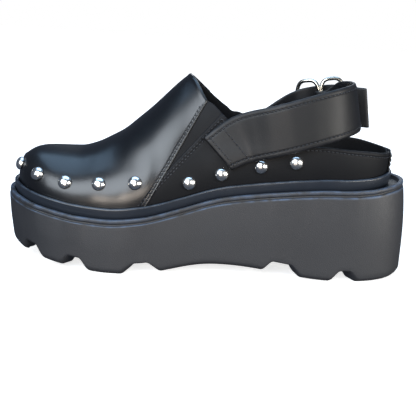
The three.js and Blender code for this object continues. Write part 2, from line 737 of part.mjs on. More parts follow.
// Straps. A row gives the middle of the strap: along is a share of half the sole length,
// spread a share of the ankle spread, height a share of the heel's height, lean the tilt
// of its upper edge towards the ankle in degrees, free how far it has left the upper,
// wide its share of the full width and slant how far its upper edge runs ahead.
const longStrapRows = [
  { along: -0.034, spread: 0.93, height: 1.31, lean: 5, free: 0, wide: 0.87, slant: 0.22 },
  { along: -0.084, spread: 0.97, height: 1.388, lean: 5, free: 0, wide: 0.93, slant: 0.15 },
  { along: -0.137, spread: 1, height: 1.46, lean: 5, free: 0, wide: 0.98, slant: 0.08 },
  { along: -0.204, spread: 1.01, height: 1.52, lean: 5, free: 0.35, wide: 1, slant: 0 },
  { along: -0.285, spread: 1.01, height: 1.575, lean: 5, free: 0.8, wide: 1, slant: 0 },
  { along: -0.387, spread: 1, height: 1.65, lean: 5, free: 1, wide: 1, slant: 0 },
  { along: -0.489, spread: 0.955, height: 1.725, lean: 6, free: 1, wide: 1, slant: 0 },
  { along: -0.583, spread: 0.84, height: 1.79, lean: 8, free: 1, wide: 1, slant: 0 },
  { along: -0.652, spread: 0.6, height: 1.828, lean: 10, free: 1, wide: 1, slant: 0 },
  { along: -0.69, spread: 0.3, height: 1.845, lean: 12, free: 1, wide: 1, slant: 0 },
  { along: -0.7, spread: 0, height: 1.848, lean: 12.5, free: 1, wide: 1, slant: 0 },
  { along: -0.693, spread: -0.3, height: 1.842, lean: 12, free: 1, wide: 1, slant: 0 },
  { along: -0.666, spread: -0.58, height: 1.82, lean: 10, free: 1, wide: 1, slant: 0 },
];
const shortStrapRows = [
  { along: -0.205, spread: -1, height: 1.418, lean: 5, free: 0, wide: 0.57, slant: 0 },
  { along: -0.255, spread: -1.03, height: 1.468, lean: 5, free: 0.15, wide: 0.67, slant: 0 },
  { along: -0.33, spread: -1.06, height: 1.55, lean: 5, free: 0.8, wide: 0.78, slant: 0 },
  { along: -0.39, spread: -1.08, height: 1.625, lean: 4, free: 1, wide: 0.86, slant: 0 },
];

// The buckle's middle bar, and the directions rearward, outward and up along the buckle
const buckleMiddle = new THREE.Vector3(-0.566 * HALF_LENGTH, -ANKLE_SPREAD, 1.746 * HEEL_HEIGHT);
const rearward = new THREE.Vector3(-0.965, 0.2, 0.165).normalize();
const outward = new THREE.Vector3(0, 0, 1).cross(rearward).normalize();
const upward = rearward.clone().cross(outward).normalize();

const barRadius = BUCKLE_WIRE / 2;

function atBuckle(back, out, up) {
  return buckleMiddle.clone().addScaledVector(rearward, back).addScaledVector(outward, out)
    .addScaledVector(upward, up);
}

// A strap stands square to its own run, and along the buckle's bar inside the buckle
const vertical = new THREE.Vector3(0, 0, 1);
const inBuckle = row => (row.point ? 1 : 0);

// Grid of points of a strap: the curve through its rows, spread to its width. The ankle
// lies on the inside of the curve.
function strapGrid(rows, width, stepsPerRow, stand, side) {
  const points = rows.map(row => row.point ?? new THREE.Vector3(row.along * HALF_LENGTH,
    row.spread * ANKLE_SPREAD, row.height * HEEL_HEIGHT));
  const curve = new THREE.CatmullRomCurve3(points, false, 'centripetal');
  const ankle = new THREE.Vector3(-0.45 * HALF_LENGTH, 0, 0);
  const steps = stepsPerRow * (points.length - 1);
  return Array.from({ length: steps + 1 }, (_, i) => {
    const from = rows[Math.floor(i / stepsPerRow)];
    const to = rows[Math.ceil(i / stepsPerRow)];
    const mix = (i % stepsPerRow) / stepsPerRow;
    const value = column => THREE.MathUtils.lerp(from[column] ?? 0, to[column] ?? 0, mix);
    const middle = curve.getPoint(i / steps);
    const tangent = curve.getTangent(i / steps);
    const held = THREE.MathUtils.lerp(inBuckle(from), inBuckle(to), mix);
    const up = vertical.clone().addScaledVector(tangent, -tangent.z).lerp(upward, held).normalize();
    const inward = tangent.clone().cross(up);
    if (inward.dot(ankle.clone().sub(middle).setZ(0)) < 0) inward.negate();
    const lean = THREE.MathUtils.degToRad(value('lean'));
    const across = up.multiplyScalar(Math.cos(lean)).addScaledVector(inward, Math.sin(lean));
    return [-0.5, -0.25, 0, 0.25, 0.5].map(j => {
      const reach = j * width * value('wide');
      const p = middle.clone().addScaledVector(across, reach)
        .addScaledVector(tangent, -reach * value('slant'));
      const skin = surfaceY(p.x, p.z, side, QUARTER_STEP) + side * stand;
      p.y = THREE.MathUtils.lerp(skin, p.y, value('free'));
      return p;
    });
  });
}

// Row of a strap where it runs through the buckle
const buckleRow = (back, out, up, wide) => (
  { point: atBuckle(back, out, up), lean: 0, free: 1, wide, slant: 0 });

// The long strap ends in a fold round the buckle's middle bar, sewn down behind it. back
// and out are shares of the fold's reach, and narrow is the share of the strap's taper.
const foldRows = [
  { back: 2.9, out: -1.52, narrow: 0.5 },
  { back: 1.29, out: -1.13, narrow: 1 },
  { back: 0, out: -1, narrow: 1 },
  { back: -Math.SQRT1_2, out: -Math.SQRT1_2, narrow: 1 },
  { back: -1, out: 0, narrow: 1 },
  { back: -Math.SQRT1_2, out: Math.SQRT1_2, narrow: 1 },
  { back: 0, out: 1, narrow: 1 },
  { back: Math.SQRT1_2, out: Math.SQRT1_2, narrow: 1 },
  { back: 1.4, out: 0, narrow: 1 },
  { back: 2.3, out: -0.4, narrow: 1 },
];
const foldReach = barRadius + FOLD_ROOM + FOLD_THICKNESS / 2;
const prongEye = barRadius + GAP;
const prongHalf = PRONG_WIDTH / 4;

function longStrap() {
  const stand = GAP + LONG_STAND + STRAP_THICKNESS / 2;
  const fold = foldRows.map(row => buckleRow(row.back * foldReach, row.out * foldReach, 0,
    THREE.MathUtils.lerp(1, FOLD_WIDTH / LONG_STRAP_WIDTH, row.narrow)));
  const rows = [...longStrapRows, ...fold];
  const stepsPerRow = 2;
  const grid = strapGrid(rows, LONG_STRAP_WIDTH, stepsPerRow, stand, 1);
  const foldStart = stepsPerRow * (longStrapRows.length + 1);
  const strap = sheetSolid(grid, i => (i < foldStart ? STRAP_THICKNESS : FOLD_THICKNESS));
  const slotFront = -2 * foldReach;
  const slotRear = prongEye + 2 * prongHalf + GAP;
  const slot = new THREE.BoxGeometry(slotRear - slotFront, 4 * foldReach, PRONG_WIDTH + 2 * GAP);
  return solidFrom(strap).subtract(placedAtBuckle(slot, (slotRear + slotFront) / 2, 0, 0));
}

// Solid turned to the buckle's directions: x rearward, y outward and z up
function placedAtBuckle(geometry, back, out, up) {
  const turn = new THREE.Matrix4().makeBasis(rearward, outward, upward);
  geometry.applyMatrix4(turn);
  const place = atBuckle(back, out, up);
  geometry.translate(place.x, place.y, place.z);
  return solidFrom(geometry);
}

// Level of the short strap's middle over the fold, and under the rings' outer bars
const overFold = foldReach + FOLD_THICKNESS / 2 + GAP + SHORT_STRAP_THICKNESS / 2;
const underRing = RING_FLARE - barRadius - 2 * GAP - SHORT_STRAP_THICKNESS / 2;

// Its way through the buckle and on to its free end: ring is a share of a ring's length
// and tail of the tail's, level runs from 0 under a ring to 1 over the fold, and drop is
// a share of the tail's drop
const wovenRows = [
  { ring: -1, tail: 0, level: 0, drop: 0.14, wide: 0.92 },
  { ring: -0.5, tail: 0, level: 0.4, drop: -0.14, wide: 0.96 },
  { ring: 0, tail: 0, level: 1, drop: -0.28, wide: 0.96 },
  { ring: 0.5, tail: 0, level: 0.4, drop: -0.28, wide: 0.96 },
  { ring: 1, tail: 0, level: 0, drop: 0, wide: 0.96 },
  { ring: 1, tail: 0.5, level: 0, drop: 0.6, wide: 0.96 },
  { ring: 1, tail: 1, level: -0.4, drop: 1, wide: 0.96 },
];
const PUNCH_COUNT = 5;

function shortStrap() {
  const stand = GAP + SHORT_STAND + SHORT_STRAP_THICKNESS / 2;
  const woven = wovenRows.map(row => buckleRow(row.ring * RING_LENGTH + row.tail * TAIL_LENGTH,
    THREE.MathUtils.lerp(underRing, overFold, row.level), -row.drop * TAIL_DROP, row.wide));
  const rows = [...shortStrapRows, ...woven];
  const grid = strapGrid(rows, SHORT_STRAP_WIDTH, 2, stand, -1);
  let strap = solidFrom(sheetSolid(grid, SHORT_STRAP_THICKNESS));
  for (let hole = 0; hole < PUNCH_COUNT; hole += 1) {
    const punch = new THREE.CylinderGeometry(PUNCH_RADIUS, PUNCH_RADIUS, 3 * SHORT_STRAP_THICKNESS, 8);
    const back = (hole - 0.5) * PUNCH_PITCH;
    const level = THREE.MathUtils.lerp(overFold, underRing, clamp01(Math.abs(back) / RING_LENGTH));
    strap = strap.subtract(placedAtBuckle(punch, back, level, 0));
  }
  return strap;
}

// Tube along a curve, with a round section
function wire(points, radius, steps, sides) {
  const curve = new THREE.CatmullRomCurve3(points, false, 'centripetal');
  const section = new THREE.Shape();
  section.absarc(0, 0, radius, 0, 2 * Math.PI);
  return new THREE.ExtrudeGeometry(section, {
    steps, extrudePath: curve, curveSegments: sides, bevelEnabled: false,
  });
}

// How square the rings are: 1 is an ellipse and 0 a rectangle
const RING_SQUARE = 0.62;

// Two rings side by side that share the middle bar
function buckle() {
  const ring = direction => {
    const half = BUCKLE_HEIGHT / 2 - barRadius;
    const points = [];
    for (let i = 0; i < 20; i += 1) {
      const angle = 2 * Math.PI * i / 20;
      const c = Math.sign(Math.cos(angle)) * Math.abs(Math.cos(angle)) ** RING_SQUARE;
      const h = Math.sign(Math.sin(angle)) * Math.abs(Math.sin(angle)) ** RING_SQUARE;
      const back = direction * RING_LENGTH * (0.5 - 0.5 * c);
      points.push(atBuckle(back, RING_FLARE * Math.abs(back) / RING_LENGTH, half * h));
    }
    return ringSolid(points, barRadius);
  };
  return ring(1).add(ring(-1));
}

// Closed loop of wire: one octagon at each point, square to its neighbours
function ringSolid(points, radius) {
  const sides = 8;
  const rings = points.map((p, i) => {
    const before = points[(i + points.length - 1) % points.length];
    const after = points[(i + 1) % points.length];
    const tangent = after.clone().sub(before).normalize();
    const a = outward.clone().addScaledVector(tangent, -outward.dot(tangent)).normalize();
    const b = tangent.clone().cross(a);
    return Array.from({ length: sides }, (_, k) => {
      const angle = 2 * Math.PI * k / sides;
      return p.clone().addScaledVector(a, radius * Math.cos(angle))
        .addScaledVector(b, radius * Math.sin(angle)).toArray();
    });
  });
  return solidFrom(bandOfRings(rings));
}

// Prong: an eye round the middle bar, and a shank over the short strap to the front ring.
// The shank's radius is a share of its width. It leaves the strap and levels out at
// multiples of its hole's distance from the bar.
const SHANK_SHARE = 0.4;
const PRONG_RISE = { leave: 1.25, level: 2.8 };
function buckleProng() {
  const eyeRings = Array.from({ length: 12 }, (_, i) => {
    const angle = 2 * Math.PI * i / 12;
    const corners = [[0, -1], [2, -1], [2, 1], [0, 1]];
    return corners.map(([thick, wide]) => {
      const r = prongEye + thick * prongHalf;
      return atBuckle(r * Math.cos(angle), r * Math.sin(angle), wide * PRONG_WIDTH / 2).toArray();
    });
  });
  const eyeTurn = (prongEye + prongHalf) * Math.SQRT1_2;
  const hole = -PUNCH_PITCH / 2;
  const overStrap = overFold + SHORT_STRAP_THICKNESS / 2 + GAP + prongHalf;
  const overRing = RING_FLARE + barRadius + GAP + 2 * prongHalf;
  const shankRoute = [[-eyeTurn, eyeTurn], [hole, (eyeTurn + overFold) / 2], [hole, overFold],
    [hole * PRONG_RISE.leave, overStrap], [hole * PRONG_RISE.level, overRing + prongHalf],
    [-RING_LENGTH - barRadius, overRing]];
  const shank = wire(shankRoute.map(([back, out]) => atBuckle(back, out, 0)), SHANK_SHARE * PRONG_WIDTH,
    14, 4);
  return solidFrom(bandOfRings(eyeRings)).add(solidFrom(shank));
}

// Materials
const finish = (color, roughness, metalness) =>
  new THREE.MeshStandardMaterial({ color, roughness, metalness });
const materials = {
  rubber: finish(0x2b2d33, 0.75, 0),
  welt: finish(0x1d1f24, 0.4, 0),
  gloss: finish(0x101114, 0.3, 0),
  strap: finish(0x17181b, 0.55, 0),
  lining: finish(0x26262a, 0.8, 0),
  metal: finish(0xd8d8dc, 0.2, 1),
};

function piece(name, geometry, material) {
  const mesh = new THREE.Mesh(geometry, material);
  mesh.name = name;
  return mesh;
}

const clog = new THREE.Group();
clog.add(
  piece('outsole', outsole(), materials.rubber),
  piece('welt', welt(), materials.welt),
  piece('upper', geometryFrom(upper()), materials.gloss),
  piece('insole', insole(), materials.lining),
  piece('back_strip', backStrip(), materials.strap),
  piece('strap_long', geometryFrom(longStrap()), materials.strap),
  piece('strap_short', geometryFrom(shortStrap()), materials.strap),
  piece('buckle', geometryFrom(buckle()), materials.metal),
  piece('buckle_prong', geometryFrom(buckleProng()), materials.metal),
  ...studs(),
);

export default clog;
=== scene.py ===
# %% [markdown]
# # Studded platform clog with a buckled heel strap
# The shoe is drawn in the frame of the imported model: +X to the toe, +Y to the inner side
# of the foot and +Z up. It could be sculpted by eye over the plain solids. Here each
# finished piece is worked out from the shoemaker's own sizes instead, so it lies exactly
# where its solid does. Sizes are in millimetres, and a mesh is scaled to metres where it
# is made.

# %% Frame
import math
import bpy
import bmesh
import numpy as np
from mathutils import Matrix, Vector


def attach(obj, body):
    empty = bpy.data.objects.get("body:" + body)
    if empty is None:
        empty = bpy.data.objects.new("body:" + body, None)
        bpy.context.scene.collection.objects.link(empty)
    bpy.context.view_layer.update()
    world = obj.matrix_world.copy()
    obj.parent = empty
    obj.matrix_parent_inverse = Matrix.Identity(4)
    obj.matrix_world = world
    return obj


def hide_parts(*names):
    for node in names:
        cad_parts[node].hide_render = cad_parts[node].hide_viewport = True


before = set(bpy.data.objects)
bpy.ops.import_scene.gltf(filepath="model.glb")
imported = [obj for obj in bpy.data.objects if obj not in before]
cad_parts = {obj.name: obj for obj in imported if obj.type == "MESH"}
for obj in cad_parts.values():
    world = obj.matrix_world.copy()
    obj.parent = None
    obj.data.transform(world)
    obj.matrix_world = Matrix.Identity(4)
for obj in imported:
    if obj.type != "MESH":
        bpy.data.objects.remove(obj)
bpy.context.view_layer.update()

MM = 0.001

# %% [markdown]
# ## Sizes
# A shoemaker starts from a few sizes of the last and the sole. These are the same ones
# that the solids have. What changes along the shoe is a short table: "at" is a place from
# -1 at the heel to 1 at the toe, and each column is a share of one of the sizes. A table
# like this is easier to correct than a long list of points.

# %% Named sizes
SOLE_LENGTH, SOLE_BALL_WIDTH, SOLE_HEEL_WIDTH = 272, 111, 84
BALL_HEIGHT, HEEL_HEIGHT, TOE_LIFT, SEAT_LIFT = 35.3, 61, 10, 5
TOE_SPRING, ARCH_RISE, HEEL_BEVEL, NOTCH_HEIGHT = 11.5, 7.2, 2.5, 7.5
EDGE_ROUND, LUG_ROUND_SHARE, TOE_ROUND, HEEL_ROUND = 3.6, 0.35, 2, 6
TOE_LEAN, HEEL_TUCK, TOE_SWING = 3, 2.6, 5
GROOVE_DEPTH, GROOVE_HEIGHT, BEAD_HEIGHT, BEAD_WIDTH, TRENCH_DEPTH = 1.5, 1.6, 3.2, 3.2, 3
WALL, VAMP_STEP, QUARTER_STEP = 1.8, 1, 0.7
TOE_MARGIN, SIDE_MARGIN, HEEL_MARGIN = 8.4, 11.2, 17.5
INSTEP_HEIGHT, TOE_BOX_HEIGHT, HEEL_CUP_HEIGHT = 86, 37.5, 25.5
SWELL, SWELL_HEIGHT = 2, 38
WELT_THICKNESS, WELT_RISE, INSOLE_THICKNESS = 2.8, 6.2, 5.5
BACK_STRIP_WIDTH, BACK_STRIP_THICKNESS = 22, 1
STUD_DIAMETER, STUD_DOME, STUD_LINE = 9, 3.2, 12
LONG_STRAP_WIDTH, SHORT_STRAP_WIDTH = 30, 28
STRAP_THICKNESS, SHORT_STRAP_THICKNESS, FOLD_THICKNESS = 2.8, 2.2, 1.6
FOLD_WIDTH, FOLD_ROOM, ANKLE_SPREAD = 21.5, 0.9, 38.5
BUCKLE_WIRE, BUCKLE_HEIGHT, RING_LENGTH, RING_FLARE = 2.8, 42, 17.4, 3.9
PUNCH_RADIUS, PUNCH_PITCH, TAIL_LENGTH, TAIL_DROP = 1.5, 6.5, 15.2, 3.5
LONG_STAND, SHORT_STAND, INSOLE_ROOM = 0.5, 0.4, 0.2
PRONG_WIDTH, GAP = 2.4, 0.3
HALF_LENGTH = SOLE_LENGTH / 2
print("sole:", SOLE_LENGTH, "x", SOLE_BALL_WIDTH, "mm, heel", HEEL_HEIGHT, "mm high")

# %% Tables along the shoe
breadth_table = {
    "at": [-1, -0.611, -0.305, 0, 0.255, 0.458, 0.611, 0.814, 1],
    "inner": [0, 0.02, 0, 0.14, 0.72, 1.03, 1.06, 1.02, 0.95],
    "outer": [0, 0.04, 0.22, 0.6, 0.97, 1.03, 0.98, 0.9, 0.8],
}
seat_table = {
    "at": [-1, -0.916, -0.764, -0.611, -0.458, -0.224, -0.071, 0.132, 0.316, 0.478, 0.611,
           0.784, 1],
    "climb": [1, 1, 1, 1, 0.945, 0.787, 0.655, 0.335, 0.086, 0, 0, 0, 0],
    "toe": [0, 0, 0, 0, 0, 0, 0, 0, 0, 0, 0.09, 0.42, 1],
    "back": [1.05, 0.8, 0.2, 0, 0, 0, 0, 0, 0, 0, 0, 0, 0],
}
# Front foot, front roof, rear roof and rear foot of each notch
notch_rows = [
    (0.895, 0.877, 0.818, 0.785),
    (0.686, 0.654, 0.592, 0.558),
    (0.396, 0.338, 0.27, 0.214),
    (-0.287, -0.326, -0.424, -0.468),
    (-0.62, -0.656, -0.712, -0.752),
]
ridge_table = {
    "at": [-1, -0.407, 0, 0.143, 0.295, 0.407, 0.509, 0.59, 0.662, 0.814, 0.916, 1],
    "instep": [1.05, 1.1, 1.06, 0.972, 0.78, 0.585, 0.35, 0.12, 0.02, 0, 0, 0],
    "toe": [0, 0, 0, 0, 0.04, 0.17, 0.47, 0.83, 0.97, 0.96, 0.93, 0.9],
    "square": [3.4, 3, 2.3, 2.1, 2.1, 2.15, 2.25, 2.35, 2.4, 2.5, 2.6, 2.6],
}
collar_table = {
    "at": [-1, -0.896, -0.753, -0.601, -0.468, -0.295, -0.183, -0.132, -0.075, -0.037,
           0.007, 0.039, 0.074, 0.1, 0.124, 0.138],
    "inner": [0, 0, 0, 0, 0, 0.05, 0.2, 0.36, 0.54, 0.617, 0.698, 0.743, 0.843, 0.915,
              0.955, 0.972],
    "outer": [0.005, 0.015, 0.022, 0.015, 0.01, 0.1, 0.25, 0.41, 0.57, 0.63, 0.706, 0.768,
              0.838, 0.892, 0.942, 0.972],
    "cup": [0.7, 0.72, 0.9, 1, 1.06, 1.07, 0.8, 0.4, 0, 0, 0, 0, 0, 0, 0, 0],
}
# Place along the upper's own outline, and height above the welt
stud_rows = [(0.975, 1), (0.868, 1), (0.724, 1), (0.555, 1.2), (0.373, 1.26),
             (0.105, 0.66), (-0.057, 0.69), (-0.255, 0.87), (-0.432, 0.96)]
# Each seam's top and foot, as a place and a share of the instep height
vamp_seam = ((0.038, 1.3), (0.287, 0.523))
gore_seam = ((-0.037, 1.209), (0.181, 0.812))
print("studs on each side:", len(stud_rows), "notches:", len(notch_rows))


# %% [markdown]
# ## Curves and the last
# The last is the foot-shaped form that the upper is pulled over. It could be a subdivided
# cage, but then no seam or stud would know where the surface is. As a function of the
# place along the shoe, every panel, stud and stitch can ask for the point below it. A
# table's column becomes a smooth curve that never overshoots its rows, so a flat stretch
# in the table stays flat on the shoe.

# %% Curves through a table
def through(table, column):
    at, value = np.array(table["at"], float), np.array(table[column], float)
    slope = np.diff(value) / np.diff(at)
    before, after = np.append(slope[0], slope), np.append(slope, slope[-1])
    total = np.where(before + after == 0, 1, before + after)
    tangent = np.where(before * after > 0, 2 * before * after / total, 0)

    def curve(place):
        i = np.clip(np.searchsorted(at, place, side="left") - 1, 0, len(at) - 2)
        width = at[i + 1] - at[i]
        t = np.clip((place - at[i]) / width, 0, 1)
        rest = 1 - t
        return ((1 + 2 * t) * rest**2 * value[i] + t * rest**2 * width * tangent[i]
                + t**2 * (3 - 2 * t) * value[i + 1] - t**2 * rest * width * tangent[i + 1])
    return curve


breadth_inner, breadth_outer = through(breadth_table, "inner"), through(breadth_table, "outer")
climb, toe_lift, back_lift = (through(seat_table, c) for c in ("climb", "toe", "back"))
ridge_instep, ridge_toe, square = (through(ridge_table, c) for c in ("instep", "toe", "square"))
collar_inner, collar_outer, collar_cup = (through(collar_table, c)
                                          for c in ("inner", "outer", "cup"))


def lerp(a, b, t):
    return a + (b - a) * t


def clamp01(value):
    return np.clip(value, 0, 1)


def smooth(value, low, high):
    t = clamp01((value - low) / (high - low))
    return t * t * (3 - 2 * t)


# %% Outline and heights of the sole
TOE_FULLNESS, HEEL_FULLNESS = 4.2, 6.5
SPRING_START, SPRING_CURVE, BEVEL_START = 0.475, 1.4, -0.88
ARCH_FRONT, ARCH_TOP, ARCH_REAR = 0.37, -0.06, -0.65
NOTCH_BLUR = 0.009


def by_place(s, toe, side, heel):
    return side + (np.where(s > 0, toe, heel) - side) * np.abs(s)**4


def round_end(s):
    return np.sqrt(np.maximum(0, 1 - np.abs(s)**np.where(s > 0, TOE_FULLNESS, HEEL_FULLNESS)))


def raw_breadth(s, side):
    return lerp(SOLE_HEEL_WIDTH / 2, SOLE_BALL_WIDTH / 2,
                np.where(side > 0, breadth_inner(s), breadth_outer(s)))


stations = np.linspace(-1, 1, 401)
trim_inner, trim_outer = (SOLE_BALL_WIDTH / 2 / np.max(raw_breadth(stations, side) * round_end(stations))
                          for side in (1, -1))


def breadth(s, side):
    return raw_breadth(s, side) * np.where(side > 0, trim_inner, trim_outer)


def swing(s):
    return TOE_SWING * smooth(s, 0.5, 1)


def bead_top(s):
    return (BALL_HEIGHT + (HEEL_HEIGHT - BALL_HEIGHT) * climb(s) + TOE_LIFT * toe_lift(s)
            + SEAT_LIFT * back_lift(s))


def trench_floor(s):
    return bead_top(s) - TRENCH_DEPTH


def groove_line(s):
    return bead_top(s) - BEAD_HEIGHT


def foot_line(s):
    spring = TOE_SPRING * clamp01((s - SPRING_START) / (1 - SPRING_START))**SPRING_CURVE
    phase = np.where(s > ARCH_TOP, (ARCH_FRONT - s) / (ARCH_FRONT - ARCH_TOP),
                     (s - ARCH_REAR) / (ARCH_TOP - ARCH_REAR))
    bevel = HEEL_BEVEL * clamp01((BEVEL_START - s) / (1 + BEVEL_START))**2
    return spring + ARCH_RISE * np.sin(clamp01(phase) * np.pi / 2)**2 + bevel


def notch_share(s):
    most = np.zeros_like(s, dtype=float)
    for front_foot, front_roof, rear_roof, rear_foot in notch_rows:
        front = (front_foot - s) / (front_foot - front_roof)
        rear = (s - rear_foot) / (rear_roof - rear_foot)
        most = np.maximum(most, np.minimum(np.minimum(front, rear), 1))
    return most


def soft_notch(s):
    """The notches with their corners rounded, as a moulded lug has them."""
    return np.mean([notch_share(s + d) for d in np.linspace(-NOTCH_BLUR, NOTCH_BLUR, 7)], axis=0)


# %% The last
FADE_FROM, FADE_HEIGHT, FADE_LENGTH = 0.85, 0.454, 0.324
ROUND_OVER_FULLNESS, ROUND_OVER_POWER = 14, 0.286


def margin(s):
    return by_place(s, TOE_MARGIN, SIDE_MARGIN, HEEL_MARGIN)


def swell(lift):
    """The upper's slight belly above the welt, which dies out without a crease."""
    t = np.maximum(0, lift / SWELL_HEIGHT)
    fading = FADE_HEIGHT * np.maximum(0, 1 - (t - FADE_FROM) / FADE_LENGTH)**2
    return SWELL * np.where(t < FADE_FROM, np.sin(np.pi * np.minimum(t, 1)), fading)


def ridge_height(x, s):
    round_over = np.maximum(0, 1 - np.abs(s)**ROUND_OVER_FULLNESS)**ROUND_OVER_POWER
    return (INSTEP_HEIGHT * ridge_instep(x) + TOE_BOX_HEIGHT * ridge_toe(x)) * round_over


def last_at(angle, side, rise, spread, out):
    """Point of the last at an angle round the shoe, "out" beyond the upper's inner layer."""
    s = np.cos(angle)
    length = HALF_LENGTH - margin(s) + out
    bulge = swell(rise)
    wide = (breadth(s, side) - margin(s) + out + bulge) * round_end(s) * spread
    return np.stack(np.broadcast_arrays((length + bulge) * s, swing(s) + side * wide,
                    trench_floor(length * s / HALF_LENGTH) + GAP + rise), -1)


def last_point(angle, turn, out):
    """The turn runs from 0 at the inner foot over the ridge to 1 at the outer foot."""
    s = np.cos(angle)
    x = (HALF_LENGTH - margin(s) + out) * s / HALF_LENGTH
    power = 2 / square(x)
    rise = np.sin(np.pi * turn)**power * (ridge_height(x, s) + out * round_end(s))
    spread = np.abs(np.cos(np.pi * turn))**power
    return last_at(angle, np.where(turn < 0.5, 1, -1), rise, spread, out)


def last_at_height(angle, side, z, out):
    s = np.cos(angle)
    x = (HALF_LENGTH - margin(s) + out) * s / HALF_LENGTH
    rise = np.maximum(0, z - trench_floor(x) - GAP)
    high = ridge_height(x, s) + out * round_end(s)
    spread = np.maximum(0, 1 - np.minimum(1, rise / high)**square(x))**(1 / square(x))
    return last_at(angle, side, rise, spread, out)


def surface_y(x, z, side, out):
    """How far out the last's surface lies at a place seen from the side."""
    place = x / HALF_LENGTH
    lift = np.maximum(0, z - trench_floor(place) - GAP)
    s = place
    for step in range(6):
        s = x / (HALF_LENGTH - margin(s) + out + swell(lift))
    s = np.clip(s, -1, 1)
    high = ridge_height(place, s) + out * round_end(s)
    spread = np.maximum(0, 1 - np.minimum(1, lift / high)**square(place))**(1 / square(place))
    wide = (breadth(s, side) - margin(s) + out + swell(lift)) * round_end(s) * spread
    return swing(s) + side * wide


def collar_height(at, side):
    return (bead_top(at) + HEEL_CUP_HEIGHT * collar_cup(at)
            + INSTEP_HEIGHT * np.where(side > 0, collar_inner(at), collar_outer(at)))


def seam_x(seam, z):
    (top_at, top), (foot_at, foot) = seam
    slope = (foot_at - top_at) * HALF_LENGTH / ((foot - top) * INSTEP_HEIGHT)
    return top_at * HALF_LENGTH + slope * (z - top * INSTEP_HEIGHT)


print("bead height at the ball and the heel:", *(round(float(bead_top(s)), 1) for s in (0.48, -0.6)))


# %% [markdown]
# ## Materials
# The real shoe has polished leather on the toe, duller leather behind, rubber with a fine
# moulded grain, and bright metal. Photographs of leather could be wrapped round the
# pieces, but a pattern made from nodes stays sharp at any distance. All finishes share two
# groups: one gives the height of a fine grain, and the other says where handling has
# smudged or rubbed the surface. On the rubber of the sole and the welt, that rubbed colour
# is also a painted bluish sheen along the rims. Each mesh carries an "edge" attribute that
# is 1 on its rims, where this wear and painted sheen go. The shader itself stays in each
# material, with its constants on its sockets.

# %% Helpers for node trees
def node(tree, kind, values=None, **settings):
    """A new node with its settings, and with constants on its own sockets."""
    made = tree.nodes.new(kind)
    for key, value in settings.items():
        setattr(made, key, value)
    for key, value in (values or {}).items():
        made.inputs[key].default_value = value
    return made


def connect(tree, *links):
    """Each link is a node, its output, the node it goes to and that node's input."""
    for source, out, target, into in links:
        tree.links.new(source.outputs[out], target.inputs[into])


def new_tree(name, kind, inputs, outputs):
    """An empty group with named inputs and outputs, and its two end nodes."""
    tree = bpy.data.node_groups.new(name, kind)
    for direction, sockets in (("INPUT", inputs), ("OUTPUT", outputs)):
        for label, socket in sockets.items():
            tree.interface.new_socket(label, in_out=direction, socket_type="NodeSocket" + socket)
    return tree, node(tree, "NodeGroupInput"), node(tree, "NodeGroupOutput")


# %% Shared shader groups
def grain_group():
    tree, start, end = new_tree("pebbled grain", "ShaderNodeTree",
                                {"Vector": "Vector", "Scale": "Float"}, {"Height": "Float"})
    cells = node(tree, "ShaderNodeTexVoronoi", feature="SMOOTH_F1")
    fine = node(tree, "ShaderNodeTexNoise", {"Detail": 4})
    both = node(tree, "ShaderNodeMath", operation="ADD")
    for texture in (cells, fine):
        connect(tree, (start, "Vector", texture, "Vector"), (start, "Scale", texture, "Scale"))
    connect(tree, (cells, "Distance", both, 0), (fine, 0, both, 1), (both, 0, end, "Height"))
    return tree


def wear_group():
    tree, start, end = new_tree("rim wear, painted sheen and smudges", "ShaderNodeTree",
                                {"Vector": "Vector", "Edge": "Float"},
                                {"Wear and sheen": "Float", "Smudge": "Float"})
    # The first output marks patches on the rims for the second colour: rubbed wear, and on the rubber
    # rims also a painted sheen. The second output only changes the gloss.
    patch = node(tree, "ShaderNodeTexNoise", {"Scale": 160, "Detail": 5})
    broad = node(tree, "ShaderNodeTexNoise", {"Scale": 34, "Detail": 3})
    steps = node(tree, "ShaderNodeMapRange", {"From Min": 0.35, "From Max": 0.7})
    times = node(tree, "ShaderNodeMath", operation="MULTIPLY")
    connect(tree, (start, "Vector", patch, "Vector"), (start, "Vector", broad, "Vector"),
            (patch, 0, steps, "Value"), (steps, "Result", times, 0), (start, "Edge", times, 1),
            (times, 0, end, "Wear and sheen"), (broad, 0, end, "Smudge"))
    return tree


GRAIN, WEAR_AND_SHEEN = grain_group(), wear_group()
print("shared groups:", GRAIN.name, "and", WEAR_AND_SHEEN.name)


